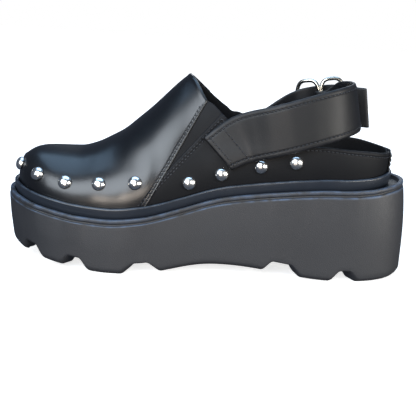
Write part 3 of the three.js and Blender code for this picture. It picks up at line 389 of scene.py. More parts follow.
# %% One recipe for every finish
def finish_of(name, colour, rim_wear_and_sheen, rough, grain, depth, metal=0, coat=0, coat_rough=0.1,
              mirror=0.5):
    """Smooth-to-rough gloss in "rough", grain cells per metre and their depth in metres."""
    made = bpy.data.materials.new(name)
    made.use_nodes = True
    tree = made.node_tree
    tree.nodes.clear()
    shader = node(tree, "ShaderNodeBsdfPrincipled", {
        "Metallic": metal, "Specular IOR Level": mirror, "Coat Weight": coat,
        "Coat Roughness": coat_rough})
    output = node(tree, "ShaderNodeOutputMaterial")
    place = node(tree, "ShaderNodeTexCoord")
    edge = node(tree, "ShaderNodeAttribute", attribute_name="edge")
    cells = node(tree, "ShaderNodeGroup", {"Scale": grain}, node_tree=GRAIN)
    wear_and_sheen_node = node(tree, "ShaderNodeGroup", node_tree=WEAR_AND_SHEEN)
    bump = node(tree, "ShaderNodeBump", {"Strength": 1, "Distance": depth})
    # The second colour goes on the rims: rubbed wear, and on the rubber also a painted bluish sheen.
    tone = node(tree, "ShaderNodeMix", {"A": (*colour, 1), "B": (*rim_wear_and_sheen, 1)}, data_type="RGBA")
    gloss = node(tree, "ShaderNodeMapRange",
                 {"From Min": 0.3, "From Max": 0.7, "To Min": rough[0], "To Max": rough[1]})
    connect(tree, (place, "Object", cells, "Vector"), (place, "Object", wear_and_sheen_node, "Vector"),
            (edge, "Fac", wear_and_sheen_node, "Edge"), (cells, "Height", bump, "Height"),
            (wear_and_sheen_node, "Wear and sheen", tone, "Factor"), (wear_and_sheen_node, "Smudge", gloss, "Value"),
            (tone, "Result", shader, "Base Color"), (gloss, "Result", shader, "Roughness"),
            (bump, "Normal", shader, "Normal"), (shader, "BSDF", output, "Surface"))
    return made


GLOSS = finish_of("polished leather", (0.004, 0.0045, 0.006), (0.012, 0.012, 0.014),
                  (0.28, 0.38), 1500, 0.00003, coat=0.3, coat_rough=0.2)
MATTE = finish_of("matte leather", (0.0035, 0.004, 0.0055), (0.012, 0.012, 0.014),
                  (0.5, 0.62), 1500, 0.00004, mirror=0.2)
STRAP = finish_of("strap leather", (0.0055, 0.006, 0.0075), (0.02, 0.02, 0.023),
                  (0.42, 0.54), 2200, 0.00004, coat=0.04, coat_rough=0.3, mirror=0.35)
LINING = finish_of("lining leather", (0.004, 0.0045, 0.006), (0.02, 0.02, 0.022),
                   (0.7, 0.9), 1500, 0.00008, mirror=0.3)
# The rubber's rim colour is a pale blue: partly rubbed wear, partly a painted sheen of the sky.
RUBBER = finish_of("sole rubber", (0.03, 0.031, 0.035), (0.075, 0.112, 0.18),
                   (0.46, 0.6), 2200, 0.00007)
# The welt's rim colour is a lighter blue: partly rubbed wear, partly a painted highlight along its top
# edge.
BAND = finish_of("welt rubber", (0.015, 0.019, 0.027), (0.045, 0.06, 0.085),
                 (0.28, 0.38), 1200, 0.00003, coat=0.2, coat_rough=0.2)
THREAD = finish_of("waxed thread", (0.012, 0.013, 0.017), (0.03, 0.03, 0.033),
                   (0.4, 0.55), 2500, 0.00008)
SILVER = finish_of("polished stud metal", (0.92, 0.91, 0.89), (0.7, 0.7, 0.7),
                   (0.2, 0.3), 500, 0.000004, metal=1)
NICKEL = finish_of("bright nickel", (0.56, 0.54, 0.48), (0.4, 0.4, 0.4),
                   (0.14, 0.24), 500, 0.000004, metal=1)
print("finishes:", len(bpy.data.materials))


# %% [markdown]
# ## Ways to make a mesh
# Two forms make nearly all of this shoe. Rings stacked from the floor up make the sole and
# the welt, as a moulded piece is drawn by its outline. A grid of points with a thickness
# makes every leather panel. A Solidify modifier could give the thickness too, but its
# rims are square, and cut leather has soft, slightly rounded ones that catch the light.

# %% Mesh helpers
def as_piece(name, points, faces, material, slot, edge=None):
    mesh = bpy.data.meshes.new(name)
    mesh.from_pydata([tuple(p) for p in np.asarray(points) * MM], [], [tuple(f) for f in faces])
    work = bmesh.new()
    work.from_mesh(mesh)
    bmesh.ops.recalc_face_normals(work, faces=work.faces)
    work.to_mesh(mesh)
    work.free()
    mesh.shade_smooth()
    attribute = mesh.attributes.new("edge", "FLOAT", "POINT")
    if edge is not None:
        attribute.data.foreach_set("value", np.asarray(edge, np.float32))
    mesh.materials.append(material)
    piece = bpy.data.objects.new(name, mesh)
    bpy.context.scene.collection.objects.link(piece)
    print(f"{name}: {len(mesh.vertices)} points, {len(mesh.polygons)} faces")
    return piece


def ring_faces(rings, count, closed=False):
    faces = []
    for r in range(rings if closed else rings - 1):
        up = (r + 1) % rings
        for i in range(count):
            after = (i + 1) % count
            faces.append((r * count + i, r * count + after, up * count + after, up * count + i))
    return faces


def cap_faces(start, count):
    return [(start + i, start + i + 1, start + count - i - 1, start + (count - i) % count)
            for i in range(count // 2)]


ANGLES = np.linspace(0, 2 * np.pi, 800, endpoint=False)


def ring(inset, height, angles=ANGLES):
    s = np.cos(angles)
    side = np.where(np.sin(angles) >= 0, 1, -1)
    inset = inset(s) if callable(inset) else inset
    x = (HALF_LENGTH - inset) * s
    y = swing(s) + side * (breadth(s, side) - inset) * round_end(s)
    return np.stack(np.broadcast_arrays(x, y, height(x / HALF_LENGTH, s)), -1)


# %% Grids with a thickness
def unit(v):
    return v / np.maximum(np.linalg.norm(v, axis=-1, keepdims=True), 1e-9)


def grid_normals(grid, inside=(-30, 0, 60)):
    """Normals that point away from a place inside the shoe."""
    normal = unit(np.cross(np.gradient(grid, axis=0), np.gradient(grid, axis=1)))
    away = np.sum(normal * (grid - np.array(inside)))
    return normal if away > 0 else -normal


def run_lengths(grid, axis):
    step = np.linalg.norm(np.diff(grid, axis=axis), axis=-1)
    zero = np.zeros_like(np.take(step, [0], axis=axis))
    return np.concatenate([zero, np.cumsum(step, axis=axis)], axis=axis)


def distance_from(grid, side):
    """Distance of each point from one side of its grid: "start", "end", "low" or "high"."""
    axis = 0 if side in ("start", "end") else 1
    run = run_lengths(grid, axis)
    return run if side in ("start", "low") else np.take(run, [-1], axis=axis) - run


def sheet(name, grid, thickness, material, slot, raised=0, rolled=1.0):
    """A panel of even thickness. "raised" lifts its outer face, point by point."""
    rows, columns = grid.shape[:2]
    normal = grid_normals(grid)
    half = np.broadcast_to(np.asarray(thickness, float) / 2, (rows, columns))[..., None]
    lift = np.broadcast_to(np.asarray(raised, float), (rows, columns))[..., None]
    front, back = grid + normal * (half + lift), grid - normal * half
    near = np.minimum.reduce([distance_from(grid, side) for side in ("start", "end", "low", "high")])
    rim_wear_and_sheen = np.exp(-near / 0.9)
    index = np.arange(rows * columns).reshape(rows, columns)
    rim = np.concatenate([index[0, :-1], index[:-1, -1], index[-1, :0:-1], index[:0:-1, 0]])
    away = np.zeros_like(grid)
    away[0] += unit(grid[0] - grid[1])
    away[-1] += unit(grid[-1] - grid[-2])
    away[:, 0] += unit(grid[:, 0] - grid[:, 1])
    away[:, -1] += unit(grid[:, -1] - grid[:, -2])
    flat = lambda a: a.reshape(-1, a.shape[-1])
    turns = []
    for angle in (0.25, 0.5, 0.75):
        up = math.cos(angle * math.pi)
        rise = np.where(up > 0, half + lift, half)
        turns.append(flat(grid + normal * rise * up
                          + unit(away) * half * rolled * math.sin(angle * math.pi))[rim])
    points = np.concatenate([flat(front), flat(back), *turns])
    size, count = rows * columns, len(rim)
    faces = []
    for i in range(rows - 1):
        for j in range(columns - 1):
            a, b, c, d = index[i, j], index[i + 1, j], index[i + 1, j + 1], index[i, j + 1]
            faces += [(a, b, c, d), (size + a, size + d, size + c, size + b)]
    loops = [rim, *(2 * size + k * count + np.arange(count) for k in range(3)), size + rim]
    for low, high in zip(loops, loops[1:]):
        faces += [(low[k], low[(k + 1) % count], high[(k + 1) % count], high[k]) for k in range(count)]
    edge = np.concatenate([rim_wear_and_sheen.ravel(), rim_wear_and_sheen.ravel() * 0.3, np.ones(3 * count)])
    return as_piece(name, points, faces, material, slot, edge)


# %% Lines on a grid, for the stitches
def line_at(grid, side, distance, above):
    """Points a set distance in from one side of a grid, lifted above its middle layer."""
    run = distance_from(grid, side)
    raised = grid + grid_normals(grid) * above
    if side in ("low", "high"):
        run, raised = run.T, raised.transpose(1, 0, 2)
    made = []
    for k in range(run.shape[1]):
        order = np.argsort(run[:, k])
        made.append([np.interp(distance, run[order, k], raised[order, k, a]) for a in range(3)])
    return np.array(made)


stitch_lines = []


def sew(line, start=0.0, end=0.0):
    """Keeps a line for the thread, shortened by a length at either end."""
    run = np.concatenate([[0], np.cumsum(np.linalg.norm(np.diff(line, axis=0), axis=-1))])
    at = np.arange(start, run[-1] - end, 0.7)
    stitch_lines.append(np.stack([np.interp(at, run, line[:, a]) for a in range(3)], -1))


# %% [markdown]
# ## Sole unit
# The platform is one moulding. Its side wall is rounded at its foot, follows the notches
# between the lugs and ends in a thin rim. A groove and a bead run round its top, and the
# welt stands in the ledge inside. Cutting the notches with booleans would leave hard
# edges. Here each ring rises with the notches, so the rounding at the foot runs on
# through them, as it does where rubber leaves a mould.

# %% Outsole
LIP_ROUND = 0.2
UNDERSIDE_INSET, NOTCH_SLANT = 12, 0.75


def edge_round(s):
    return EDGE_ROUND * lerp(1, LUG_ROUND_SHARE, soft_notch(s))


def wall_inset(s, round_share, ends, level):
    toe_end, heel_end = np.maximum(0, s)**6, np.maximum(0, -s)**6
    return (round_share * edge_round(s) + ends * np.where(s > 0, TOE_ROUND, HEEL_ROUND) * np.abs(s)**8
            + TOE_LEAN * (1 - level) * toe_end + HEEL_TUCK * level**3 * heel_end
            - LIP_ROUND * EDGE_ROUND * level * toe_end)


def lip_inset(s):
    return wall_inset(s, LIP_ROUND, 0, 1)


def wall_ring(round_share, ends, rise_share, level):
    def height(x, s):
        low = foot_line(x) + NOTCH_HEIGHT * soft_notch(s)
        rise = rise_share * edge_round(s)
        return low + rise + level * (groove_line(x) - GROOVE_HEIGHT / 2 - low - rise)
    return ring(lambda s: wall_inset(s, round_share, ends, level), height)


def underside_ring(inset, slant):
    """A slant of 0 takes the notches' walls straight across the shoe, and 1 along the
    outline's own turn."""
    s = np.clip(HALF_LENGTH * np.cos(ANGLES) / (HALF_LENGTH - inset), -1, 1)
    turned = np.where(ANGLES > np.pi, 2 * np.pi - np.arccos(s), np.arccos(s))
    notch = NOTCH_HEIGHT * soft_notch(np.cos(ANGLES))
    return ring(inset, lambda x, s: foot_line(x) + notch, lerp(turned, ANGLES, slant))


sole_rings = [underside_ring(UNDERSIDE_INSET, NOTCH_SLANT), underside_ring(7.8, 0.8)]
for angle in np.linspace(0, 0.5, 7):
    inset = 1 - math.sin(angle * math.pi)
    sole_rings.append(wall_ring(inset, inset**0.7, 1 - math.cos(angle * math.pi), 0))
for level in np.linspace(0.06, 0.97, 14):
    drawn_in = LIP_ROUND * max(0, (level - 0.45) / 0.55)**1.6
    sole_rings.append(wall_ring(drawn_in, 0, 1 - level, level))
sole_edge = [0.0] * len(sole_rings)
# Each lip row is an inset, a rise and the share of the rim colour, which is rubbed wear and a painted
# bluish sheen.
lip_profile = [(0, -1.3, 0.8), (0.1, -1, 1), (0.35, -0.82, 1), (0.7, -0.8, 0.7), (1.3, -0.6, 0),
               (GROOVE_DEPTH, -0.2, 0), (GROOVE_DEPTH, 0.3, 0), (1.2, 0.7, 0), (0.7, 0.8, 0),
               (0.42, 0.95, 0.2), (0.32, 1.25, 0.3), (0.3, 1.8, 0.3), (0.32, 2.3, 0.4),
               (0.45, 2.85, 0.7), (0.8, 3.12, 0.8), (1.2, BEAD_HEIGHT, 0.7), (2, BEAD_HEIGHT, 0.5),
               (2.7, BEAD_HEIGHT, 0.5), (BEAD_WIDTH, 3.1, 0.6), (BEAD_WIDTH + 0.25, 2.8, 0.4),
               (BEAD_WIDTH + 0.32, 2.4, 0), (BEAD_WIDTH + 0.5, 1, 0),
               (4.1, BEAD_HEIGHT - TRENCH_DEPTH, 0), (9, BEAD_HEIGHT - TRENCH_DEPTH, 0)]
for inset, rise, rim_wear_and_sheen in lip_profile:
    sole_rings.append(ring(lambda s: lip_inset(s) + inset, lambda x, s: groove_line(x) + rise))
    sole_edge.append(rim_wear_and_sheen)
count = len(ANGLES)
sole_faces = (ring_faces(len(sole_rings), count) + cap_faces(0, count)
              + cap_faces((len(sole_rings) - 1) * count, count))
outsole = as_piece("outsole_unit", np.concatenate(sole_rings), sole_faces, RUBBER, "sole",
                   np.repeat(sole_edge, count))
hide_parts("outsole")

# %% [markdown]
# ## Welt
# A rubber band closes the joint between upper and sole. Its top edge is rounded, and in
# places a lighter blue is painted on it, partly as rubbed wear and partly as a painted
# highlight. A curve with a bevelled profile could follow the outline, but the welt leans
# with the swell of the upper, so it is a closed stack of rings set off from the upper's
# own surface by a hair's breadth.

# %% Welt
welt_height = TRENCH_DEPTH + WELT_RISE - GAP
# The third value of each row is the share of the rim colour: wear and a painted highlight on the top
# edge.
welt_profile = [(0, 0, 0), (WELT_THICKNESS, 0, 0), (WELT_THICKNESS, welt_height * 0.4, 0),
                (WELT_THICKNESS, welt_height - 1.1, 0.1), (2.66, welt_height - 0.55, 0.6),
                (2.3, welt_height - 0.18, 1), (1.8, welt_height, 1), (0.9, welt_height, 0.8),
                (0.25, welt_height - 0.1, 0.5), (0, welt_height - 0.4, 0)]
welt_rings = [ring(lambda s: margin(s) - VAMP_STEP - GAP - depth - swell(lift),
                   lambda x, s: trench_floor(x) + GAP + lift) for depth, lift, _ in welt_profile]
welt = as_piece("welt_band", np.concatenate(welt_rings), ring_faces(len(welt_rings), count, True),
                BAND, "welt", np.repeat([rim_wear_and_sheen for *_, rim_wear_and_sheen in welt_profile], count))
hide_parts("welt")

# %% [markdown]
# ## Footbed
# The foot stands on a padded board covered in lining leather. It sinks a little towards
# its middle. Rings drawn in step by step give that soft dish with few faces.

# %% Insole
def insole_side(extra):
    return lambda s: margin(s) + WALL + INSOLE_ROOM + GAP + extra


insole_profile = [(0, 0), (0, 4.2), (0.15, 4.8), (0.55, 5.25), (1.2, 5.45), (2.2, INSOLE_THICKNESS),
                  (6, 5.2), (12, 4.9), (20, 4.7), (27, 4.65)]
insole_rings = [ring(insole_side(extra), lambda x, s: trench_floor(x) + GAP + rise)
                for extra, rise in insole_profile]
insole = as_piece("footbed", np.concatenate(insole_rings),
                  ring_faces(len(insole_rings), count) + cap_faces(0, count)
                  + cap_faces((len(insole_rings) - 1) * count, count),
                  LINING, "footbed")
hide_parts("insole")


# %% [markdown]
# ## Vamp
# The vamp is one piece of leather from the toe to its rear seam and the throat. It could
# be cut out of a whole last by a boolean, which tears the grid apart at the seam. Instead,
# each line of the grid runs from the toe over the last until it meets the seam or the
# throat, so the panel ends in a clean edge. The edge can then be turned, grooved for two
# rows of thread and worn. The soft creases where the foot bends are placed one by one.

# %% Vamp
FIRST_ANGLE, LAST_ANGLE = 0.02, 2.2


def beyond_vamp(p):
    place = p[..., 0] / HALF_LENGTH
    over = (place < 0.138) & (p[..., 2] > collar_height(place, np.sign(p[..., 1] - swing(place) + 1e-9)))
    return (p[..., 0] < seam_x(vamp_seam, p[..., 2])) | over


def vamp_grid(out, steps, turns, short=0.0):
    """Grid from the toe to where each turn over the last meets the seam or the throat."""
    fan = 2 * np.arange(turns + 1) / turns - 1
    turn = 0.5 + 0.5 * np.sign(fan) * (1 - (1 - np.abs(fan))**1.25)
    turn = np.clip(turn, 1e-4, 1 - 1e-4)
    scan = np.linspace(FIRST_ANGLE, LAST_ANGLE, 700)[:, None]
    first = np.argmax(beyond_vamp(last_point(scan, turn[None], out)), axis=0)
    low, high = scan[first - 1, 0], scan[first, 0]
    for step in range(18):
        middle = (low + high) / 2
        past = beyond_vamp(last_point(middle, turn, out))
        low, high = np.where(past, low, middle), np.where(past, middle, high)
    share = np.linspace(0, 1, steps + 1)
    share = (share + 0.55 * np.sin(np.pi * share / 2)) / 1.55
    return last_point(lerp(FIRST_ANGLE, low[None] - short, share[:, None]), turn[None], out)


def bump_at(grid, centre, reach, depth):
    """A soft hollow or swelling round a point, depth mm deep."""
    away = np.sum(((grid - np.array(centre)) / np.array(reach))**2, axis=-1)
    return depth * np.exp(-away)


vamp_middle = vamp_grid(VAMP_STEP - 0.7, 190, 150)
from_seam = distance_from(vamp_middle, "end")
on_seam = vamp_middle[-1, :, 0] < seam_x(vamp_seam, vamp_middle[-1, :, 2]) + 0.4
furrows = 0.22 * np.exp(-((from_seam - 2.2) / 0.5)**2) + 0.2 * np.exp(-((from_seam - 4.4) / 0.5)**2)
folded = 0.3 * np.exp(-((from_seam - 1) / 0.7)**2) - furrows * on_seam
creases = (bump_at(vamp_middle, (62, 26, 66), (9, 30, 20), -0.55)
           + bump_at(vamp_middle, (74, 34, 56), (6, 16, 14), 0.45)
           + bump_at(vamp_middle, (48, 34, 62), (5, 14, 16), -0.4)
           + bump_at(vamp_middle, (40, 38, 74), (4, 12, 16), 0.35)
           + bump_at(vamp_middle, (60, -26, 66), (8, 26, 20), -0.5))
vamp = sheet("vamp", vamp_middle, 1.4, GLOSS, "upper_leather", folded + creases)
vamp_lining = sheet("vamp_lining", vamp_grid(-1.15, 90, 80, short=0.004), 1.2, LINING, "footbed")
for distance in (2.2, 4.4):
    seam_line = line_at(vamp_middle, "end", distance, 0.68)
    for side in (1, -1):
        part = seam_line[on_seam & (side * seam_line[:, 1] > 5)][::side]
        sew(part, 13, 1)


# %% [markdown]
# ## Quarters
# One band of leather runs from the gore's seam round the heel to the other gore. Its top
# edge is the collar, low at the heel and rising to the front. The grid has one side on the
# seam and one on the collar, so its rows follow both. Mirroring one side would be shorter,
# but the two sides of a foot differ, so each side is worked out by itself.

# %% Quarters
BACK_SEAM = 0.0374


def seam_angle(seam, side, v, out):
    """Angle and height of a seam at a share v of its height, from the foot to the collar."""
    z_top = 100.0
    for _ in range(40):
        x_top = seam_x(seam, z_top)
        z_top = lerp(z_top, float(collar_height(x_top / HALF_LENGTH, side)), 0.5)
    x = np.full_like(v, x_top + 10)
    for _ in range(30):
        z = lerp(trench_floor(x / HALF_LENGTH) + GAP, z_top, v)
        x = lerp(x, seam_x(seam, z), 0.6)
    s = x / HALF_LENGTH
    for _ in range(12):
        lift = z - trench_floor(s) - GAP
        s = x / (HALF_LENGTH - margin(s) + out + swell(lift))
    return np.arccos(s), x_top, z_top


def quarter_side(side, out, steps, rows, short=0.0):
    v = np.linspace(0, 1, rows + 1)
    start, x_top, z_top = seam_angle(gore_seam, side, v, out)
    share = np.linspace(0, 1, steps + 1)[:, None]
    angle = lerp(start[None], math.pi - BACK_SEAM, share)
    s = np.cos(angle)
    x = np.minimum((HALF_LENGTH - margin(s) + out) * s, x_top)
    high = np.where(x >= x_top, z_top, collar_height(x / HALF_LENGTH, side)) - short
    x_foot = (HALF_LENGTH - margin(s) + out) * s / HALF_LENGTH
    z = lerp(trench_floor(x_foot) + GAP, high, v[None])
    return last_at_height(angle, side, z, out)


def quarter_grid(out, steps, rows, short=0.0):
    return np.concatenate([quarter_side(1, out, steps, rows, short),
                           quarter_side(-1, out, steps, rows, short)[::-1]])


quarter_middle = quarter_grid(QUARTER_STEP - 0.6, 130, 40)
from_collar = distance_from(quarter_middle, "high")
from_front = np.minimum(distance_from(quarter_middle, "start"), distance_from(quarter_middle, "end"))
nearest = np.minimum(from_collar, from_front)
soft_edge = (0.25 * np.exp(-((nearest - 1.1) / 0.7)**2) - 0.2 * np.exp(-((nearest - 2.4) / 0.5)**2)
             - 0.2 * np.exp(-((from_front - 4.7) / 0.5)**2))
quarters = sheet("quarters", quarter_middle, 1.2, MATTE, "upper_leather", soft_edge)
quarter_lining = sheet("quarter_lining", quarter_grid(-1.1, 110, 24), 1.3, LINING, "footbed")
for side in ("start", "end"):
    for distance in (2.4, 4.7):
        sew(line_at(quarter_middle, side, distance, 0.62), 9, 2)
sew(line_at(quarter_middle, "high", 2.4, 0.62), 3, 3)


# %% [markdown]
# ## Gores
# Between vamp and quarter lies a narrow panel on each side. Its edges are hidden under its
# neighbours, as they are when the real pieces are lasted over each other, so no gap can
# show at the seams.

# %% Gores
def gore_grid(side, out, steps, rows, short=0.0):
    """Panel that reaches a little under the vamp in front and under the quarter behind."""
    rise, share = np.meshgrid(np.linspace(0, 1, rows + 1), np.linspace(0, 1, steps + 1))
    x = lerp(20, 0, rise)
    for _ in range(40):
        place = x / HALF_LENGTH
        z = lerp(trench_floor(place) + GAP, collar_height(place, side) - short, rise)
        x = lerp(x, lerp(seam_x(vamp_seam, z) + 4, seam_x(gore_seam, z) - 4, share), 0.5)
    return np.stack([x, surface_y(x, z, side, out), z], -1)


for side, name in ((1, "inner"), (-1, "outer")):
    gore = sheet(f"gore_{name}", gore_grid(side, -0.5, 24, 30), 1, MATTE, "upper_leather")
    backing = sheet(f"gore_lining_{name}", gore_grid(side, -1.4, 12, 18, 0.3), 0.7, LINING,
                    "footbed")
    for made in (gore, backing):
        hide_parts("upper")
for made in (vamp, vamp_lining, quarters, quarter_lining):
    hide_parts("upper")


# %% [markdown]
# ## Back strip
# A narrow strip covers the back seam. It is a grid on the quarters' surface, a gap and
# half its own thickness further out, with a row of thread along each edge.

# %% Back strip
HEEL_TURN = 0.62


def back_strip_grid(columns, rows):
    out = QUARTER_STEP + GAP + BACK_STRIP_THICKNESS / 2
    turn = BACK_STRIP_WIDTH / SOLE_HEEL_WIDTH * HEEL_TURN
    angle = np.pi + np.linspace(-turn, turn, columns + 1)[:, None]
    s = np.cos(angle)
    side = np.where(angle < np.pi, 1, -1)
    x = (HALF_LENGTH - margin(s)) * s
    place = x / HALF_LENGTH
    welt_place = (HALF_LENGTH - margin(s) + VAMP_STEP + GAP + WELT_THICKNESS) * s / HALF_LENGTH
    z = lerp(bead_top(welt_place) + WELT_RISE + GAP, collar_height(place, side) - GAP,
             np.linspace(0, 1, rows + 1)[None])
    reach = out + swell(z - trench_floor(place) - GAP)
    y = side * (breadth(s, side) - margin(s) + reach) * round_end(s)
    return np.stack(np.broadcast_arrays((HALF_LENGTH - margin(s) + reach) * s, y, z), -1)


strip_grid = back_strip_grid(40, 16)
back_strip = sheet("back_strip_leather", strip_grid, BACK_STRIP_THICKNESS, STRAP, "strap_leather")
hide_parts("back_strip")
for side in ("start", "end"):
    sew(line_at(strip_grid, side, 1.8, 0.55), 1, 1)

# %% [markdown]
# ## Straps
# The heel strap is in two parts. The long one is sewn to the inner quarter, goes round
# behind the heel and folds round the buckle's middle bar. The short one comes from the
# outer quarter, passes through both rings and ends in a free tail. Cloth simulation could
# drape them, but a fastened leather strap is stiff and holds one known path. So each strap
# is a curve through a few rows. A row says how far the strap has left the upper ("free"),
# how far it leans and how wide it is.

# %% Strap rows: along, spread, height, lean, free, wide, slant
long_strap_rows = [
    (-0.034, 0.93, 1.31, 5, 0, 0.87, 0.22), (-0.084, 0.97, 1.388, 5, 0, 0.93, 0.15),
    (-0.137, 1, 1.46, 5, 0, 0.98, 0.08), (-0.204, 1.01, 1.52, 5, 0.35, 1, 0),
    (-0.285, 1.01, 1.575, 5, 0.8, 1, 0), (-0.387, 1, 1.65, 5, 1, 1, 0),
    (-0.489, 0.955, 1.725, 6, 1, 1, 0), (-0.583, 0.84, 1.79, 8, 1, 1, 0),
    (-0.652, 0.6, 1.828, 10, 1, 1, 0), (-0.69, 0.3, 1.845, 12, 1, 1, 0),
    (-0.7, 0, 1.848, 12.5, 1, 1, 0), (-0.693, -0.3, 1.842, 12, 1, 1, 0),
    (-0.666, -0.58, 1.82, 10, 1, 1, 0),
]
short_strap_rows = [
    (-0.205, -1, 1.418, 5, 0, 0.57, 0), (-0.255, -1.03, 1.468, 5, 0.15, 0.67, 0),
    (-0.33, -1.06, 1.55, 5, 0.8, 0.78, 0), (-0.39, -1.08, 1.625, 4, 1, 0.86, 0),
]
buckle_middle = np.array([-0.566 * HALF_LENGTH, -ANKLE_SPREAD, 1.746 * HEEL_HEIGHT])
rearward = unit(np.array([-0.965, 0.2, 0.165]))
outward = unit(np.cross([0, 0, 1], rearward))
upward = np.cross(rearward, outward)
BAR_RADIUS = BUCKLE_WIRE / 2


def at_buckle(back, out, up):
    return buckle_middle + rearward * back + outward * out + upward * up


# %% Curve through the rows
def smooth_curve(points, steps):
    """Centripetal curve through points, as steps points between each two."""
    points = [np.asarray(p, float) for p in points]
    ends = [2 * points[0] - points[1], *points, 2 * points[-1] - points[-2]]
    made = []
    for k in range(len(points) - 1):
        p0, p1, p2, p3 = ends[k:k + 4]
        d0, d1, d2 = (max(np.sum((b - a)**2)**0.25, 1e-4) for a, b in ((p0, p1), (p1, p2), (p2, p3)))
        t1 = ((p1 - p0) / d0 - (p2 - p0) / (d0 + d1) + (p2 - p1) / d1) * d1
        t2 = ((p2 - p1) / d1 - (p3 - p1) / (d1 + d2) + (p3 - p2) / d2) * d1
        last = k == len(points) - 2
        for t in np.linspace(0, 1, steps + 1)[:None if last else -1]:
            made.append(p1 + t1 * t + (-3 * p1 + 3 * p2 - 2 * t1 - t2) * t**2
                        + (2 * p1 - 2 * p2 + t1 + t2) * t**3)
    return np.array(made)


# %% Strap grids
def buckle_row(back, out, up, wide):
    return {"point": at_buckle(back, out, up), "lean": 0, "free": 1, "wide": wide, "slant": 0,
            "held": 1}


def shoe_row(row):
    along, spread, height, lean, free, wide, slant = row
    return {"point": np.array([along * HALF_LENGTH, spread * ANKLE_SPREAD, height * HEEL_HEIGHT]),
            "lean": lean, "free": free, "wide": wide, "slant": slant, "held": 0}


def strap_grid(rows, width, steps, stand, side, across):
    curve = smooth_curve([row["point"] for row in rows], steps)
    tangents = unit(np.gradient(curve, axis=0))
    table = {"at": list(range(len(rows)))}
    for column in ("lean", "free", "wide", "slant", "held"):
        table[column] = [row[column] for row in rows]
    at = np.arange(len(curve)) / steps
    leans, frees, wides, slants, helds = (through(table, column)(at)
                                          for column in ("lean", "free", "wide", "slant", "held"))
    grid = []
    for middle, tangent, lean, free, wide, slant, held in zip(
            curve, tangents, leans, frees, wides, slants, helds):
        up = unit(lerp(np.array([0, 0, 1]) - tangent * tangent[2], upward, held))
        inward = np.cross(tangent, up)
        toward = np.array([-0.45 * HALF_LENGTH, 0, 0]) - middle
        inward = inward if np.dot(inward[:2], toward[:2]) >= 0 else -inward
        tilt = up * math.cos(math.radians(lean)) + inward * math.sin(math.radians(lean))
        line = []
        for j in np.linspace(-0.5, 0.5, across):
            reach = j * width * wide
            p = middle + tilt * reach - tangent * reach * slant
            skin = surface_y(p[0], p[2], side, QUARTER_STEP) + side * stand
            line.append((p[0], lerp(skin, p[1], free), p[2]))
        grid.append(line)
    return np.array(grid)


fold_reach = BAR_RADIUS + FOLD_ROOM + FOLD_THICKNESS / 2
turned = fold_reach * math.sqrt(0.5)
narrow = FOLD_WIDTH / LONG_STRAP_WIDTH
fold_route = [(9, -fold_reach - 1.6, (1 + narrow) / 2), (4, -fold_reach - 0.4, narrow),
              (0, -fold_reach, narrow), (-turned, -turned, narrow), (-fold_reach, 0, narrow),
              (-turned, turned, narrow), (0, fold_reach, narrow), (turned, turned, narrow),
              (fold_reach * 1.4, 0, narrow), (fold_reach * 2.3, -fold_reach * 0.4, narrow)]
long_rows = [shoe_row(row) for row in long_strap_rows]
long_rows += [buckle_row(back, out, 0, wide) for back, out, wide in fold_route]
STEPS = 8
long_grid = strap_grid(long_rows, LONG_STRAP_WIDTH, STEPS, GAP + LONG_STAND + STRAP_THICKNESS / 2, 1, 61)
fold_start = STEPS * (len(long_strap_rows) + 1)
thick = lerp(STRAP_THICKNESS, FOLD_THICKNESS,
             smooth(np.arange(len(long_grid)), fold_start - STEPS, fold_start + 2))[:, None]

over_fold = fold_reach + FOLD_THICKNESS / 2 + GAP + SHORT_STRAP_THICKNESS / 2
under_ring = RING_FLARE - BAR_RADIUS - 2 * GAP - SHORT_STRAP_THICKNESS / 2
between = lerp(under_ring, over_fold, 0.4)
woven = [(-RING_LENGTH, under_ring, -0.5, 0.92), (-RING_LENGTH / 2, between, 0.5, 0.96),
         (0, over_fold, 1, 0.96), (RING_LENGTH / 2, between, 1, 0.96),
         (RING_LENGTH, under_ring, 0, 0.96),
         (RING_LENGTH + TAIL_LENGTH / 2, under_ring, -TAIL_DROP * 0.6, 0.96),
         (RING_LENGTH + TAIL_LENGTH, under_ring - 1, -TAIL_DROP, 0.96)]
short_rows = [shoe_row(row) for row in short_strap_rows]
short_rows += [buckle_row(*row) for row in woven]
short_grid = strap_grid(short_rows, SHORT_STRAP_WIDTH, STEPS,
                        GAP + SHORT_STAND + SHORT_STRAP_THICKNESS / 2, -1, 53)
print("strap grids:", long_grid.shape, short_grid.shape)


# %% [markdown]
# ## Slot and holes
# The fold has a slot for the prong, and the short strap has five punched holes. A punch
# makes them on the real strap, and a boolean does the same here. The result is kept as a
# plain mesh, and the cutters are deleted.

# %% Cut straps
def padded_edge(grid, height, reach, seam):
    """Thinner towards both long edges, with a furrow where the thread pulls it down."""
    near = np.minimum(distance_from(grid, "low"), distance_from(grid, "high"))
    return -height * np.exp(-near / reach) - 0.28 * np.exp(-((near - seam) / 0.55)**2)


def cut(piece, cutters):
    """The piece less its cutters, as a plain mesh."""
    for cutter in cutters:
        modifier = piece.modifiers.new("cut", "BOOLEAN")
        modifier.object, modifier.operation, modifier.solver = cutter, "DIFFERENCE", "EXACT"
    bpy.context.view_layer.update()
    graph = bpy.context.evaluated_depsgraph_get()
    mesh = bpy.data.meshes.new_from_object(piece.evaluated_get(graph))
    piece.modifiers.clear()
    piece.data = mesh
    for cutter in cutters:
        bpy.data.objects.remove(cutter)


def cutter_of(name, points, faces):
    mesh = bpy.data.meshes.new(name)
    mesh.from_pydata([tuple(p) for p in np.asarray(points) * MM], [], faces)
    work = bmesh.new()
    work.from_mesh(mesh)
    bmesh.ops.recalc_face_normals(work, faces=work.faces)
    work.to_mesh(mesh)
    work.free()
    made = bpy.data.objects.new(name, mesh)
    bpy.context.scene.collection.objects.link(made)
    return made


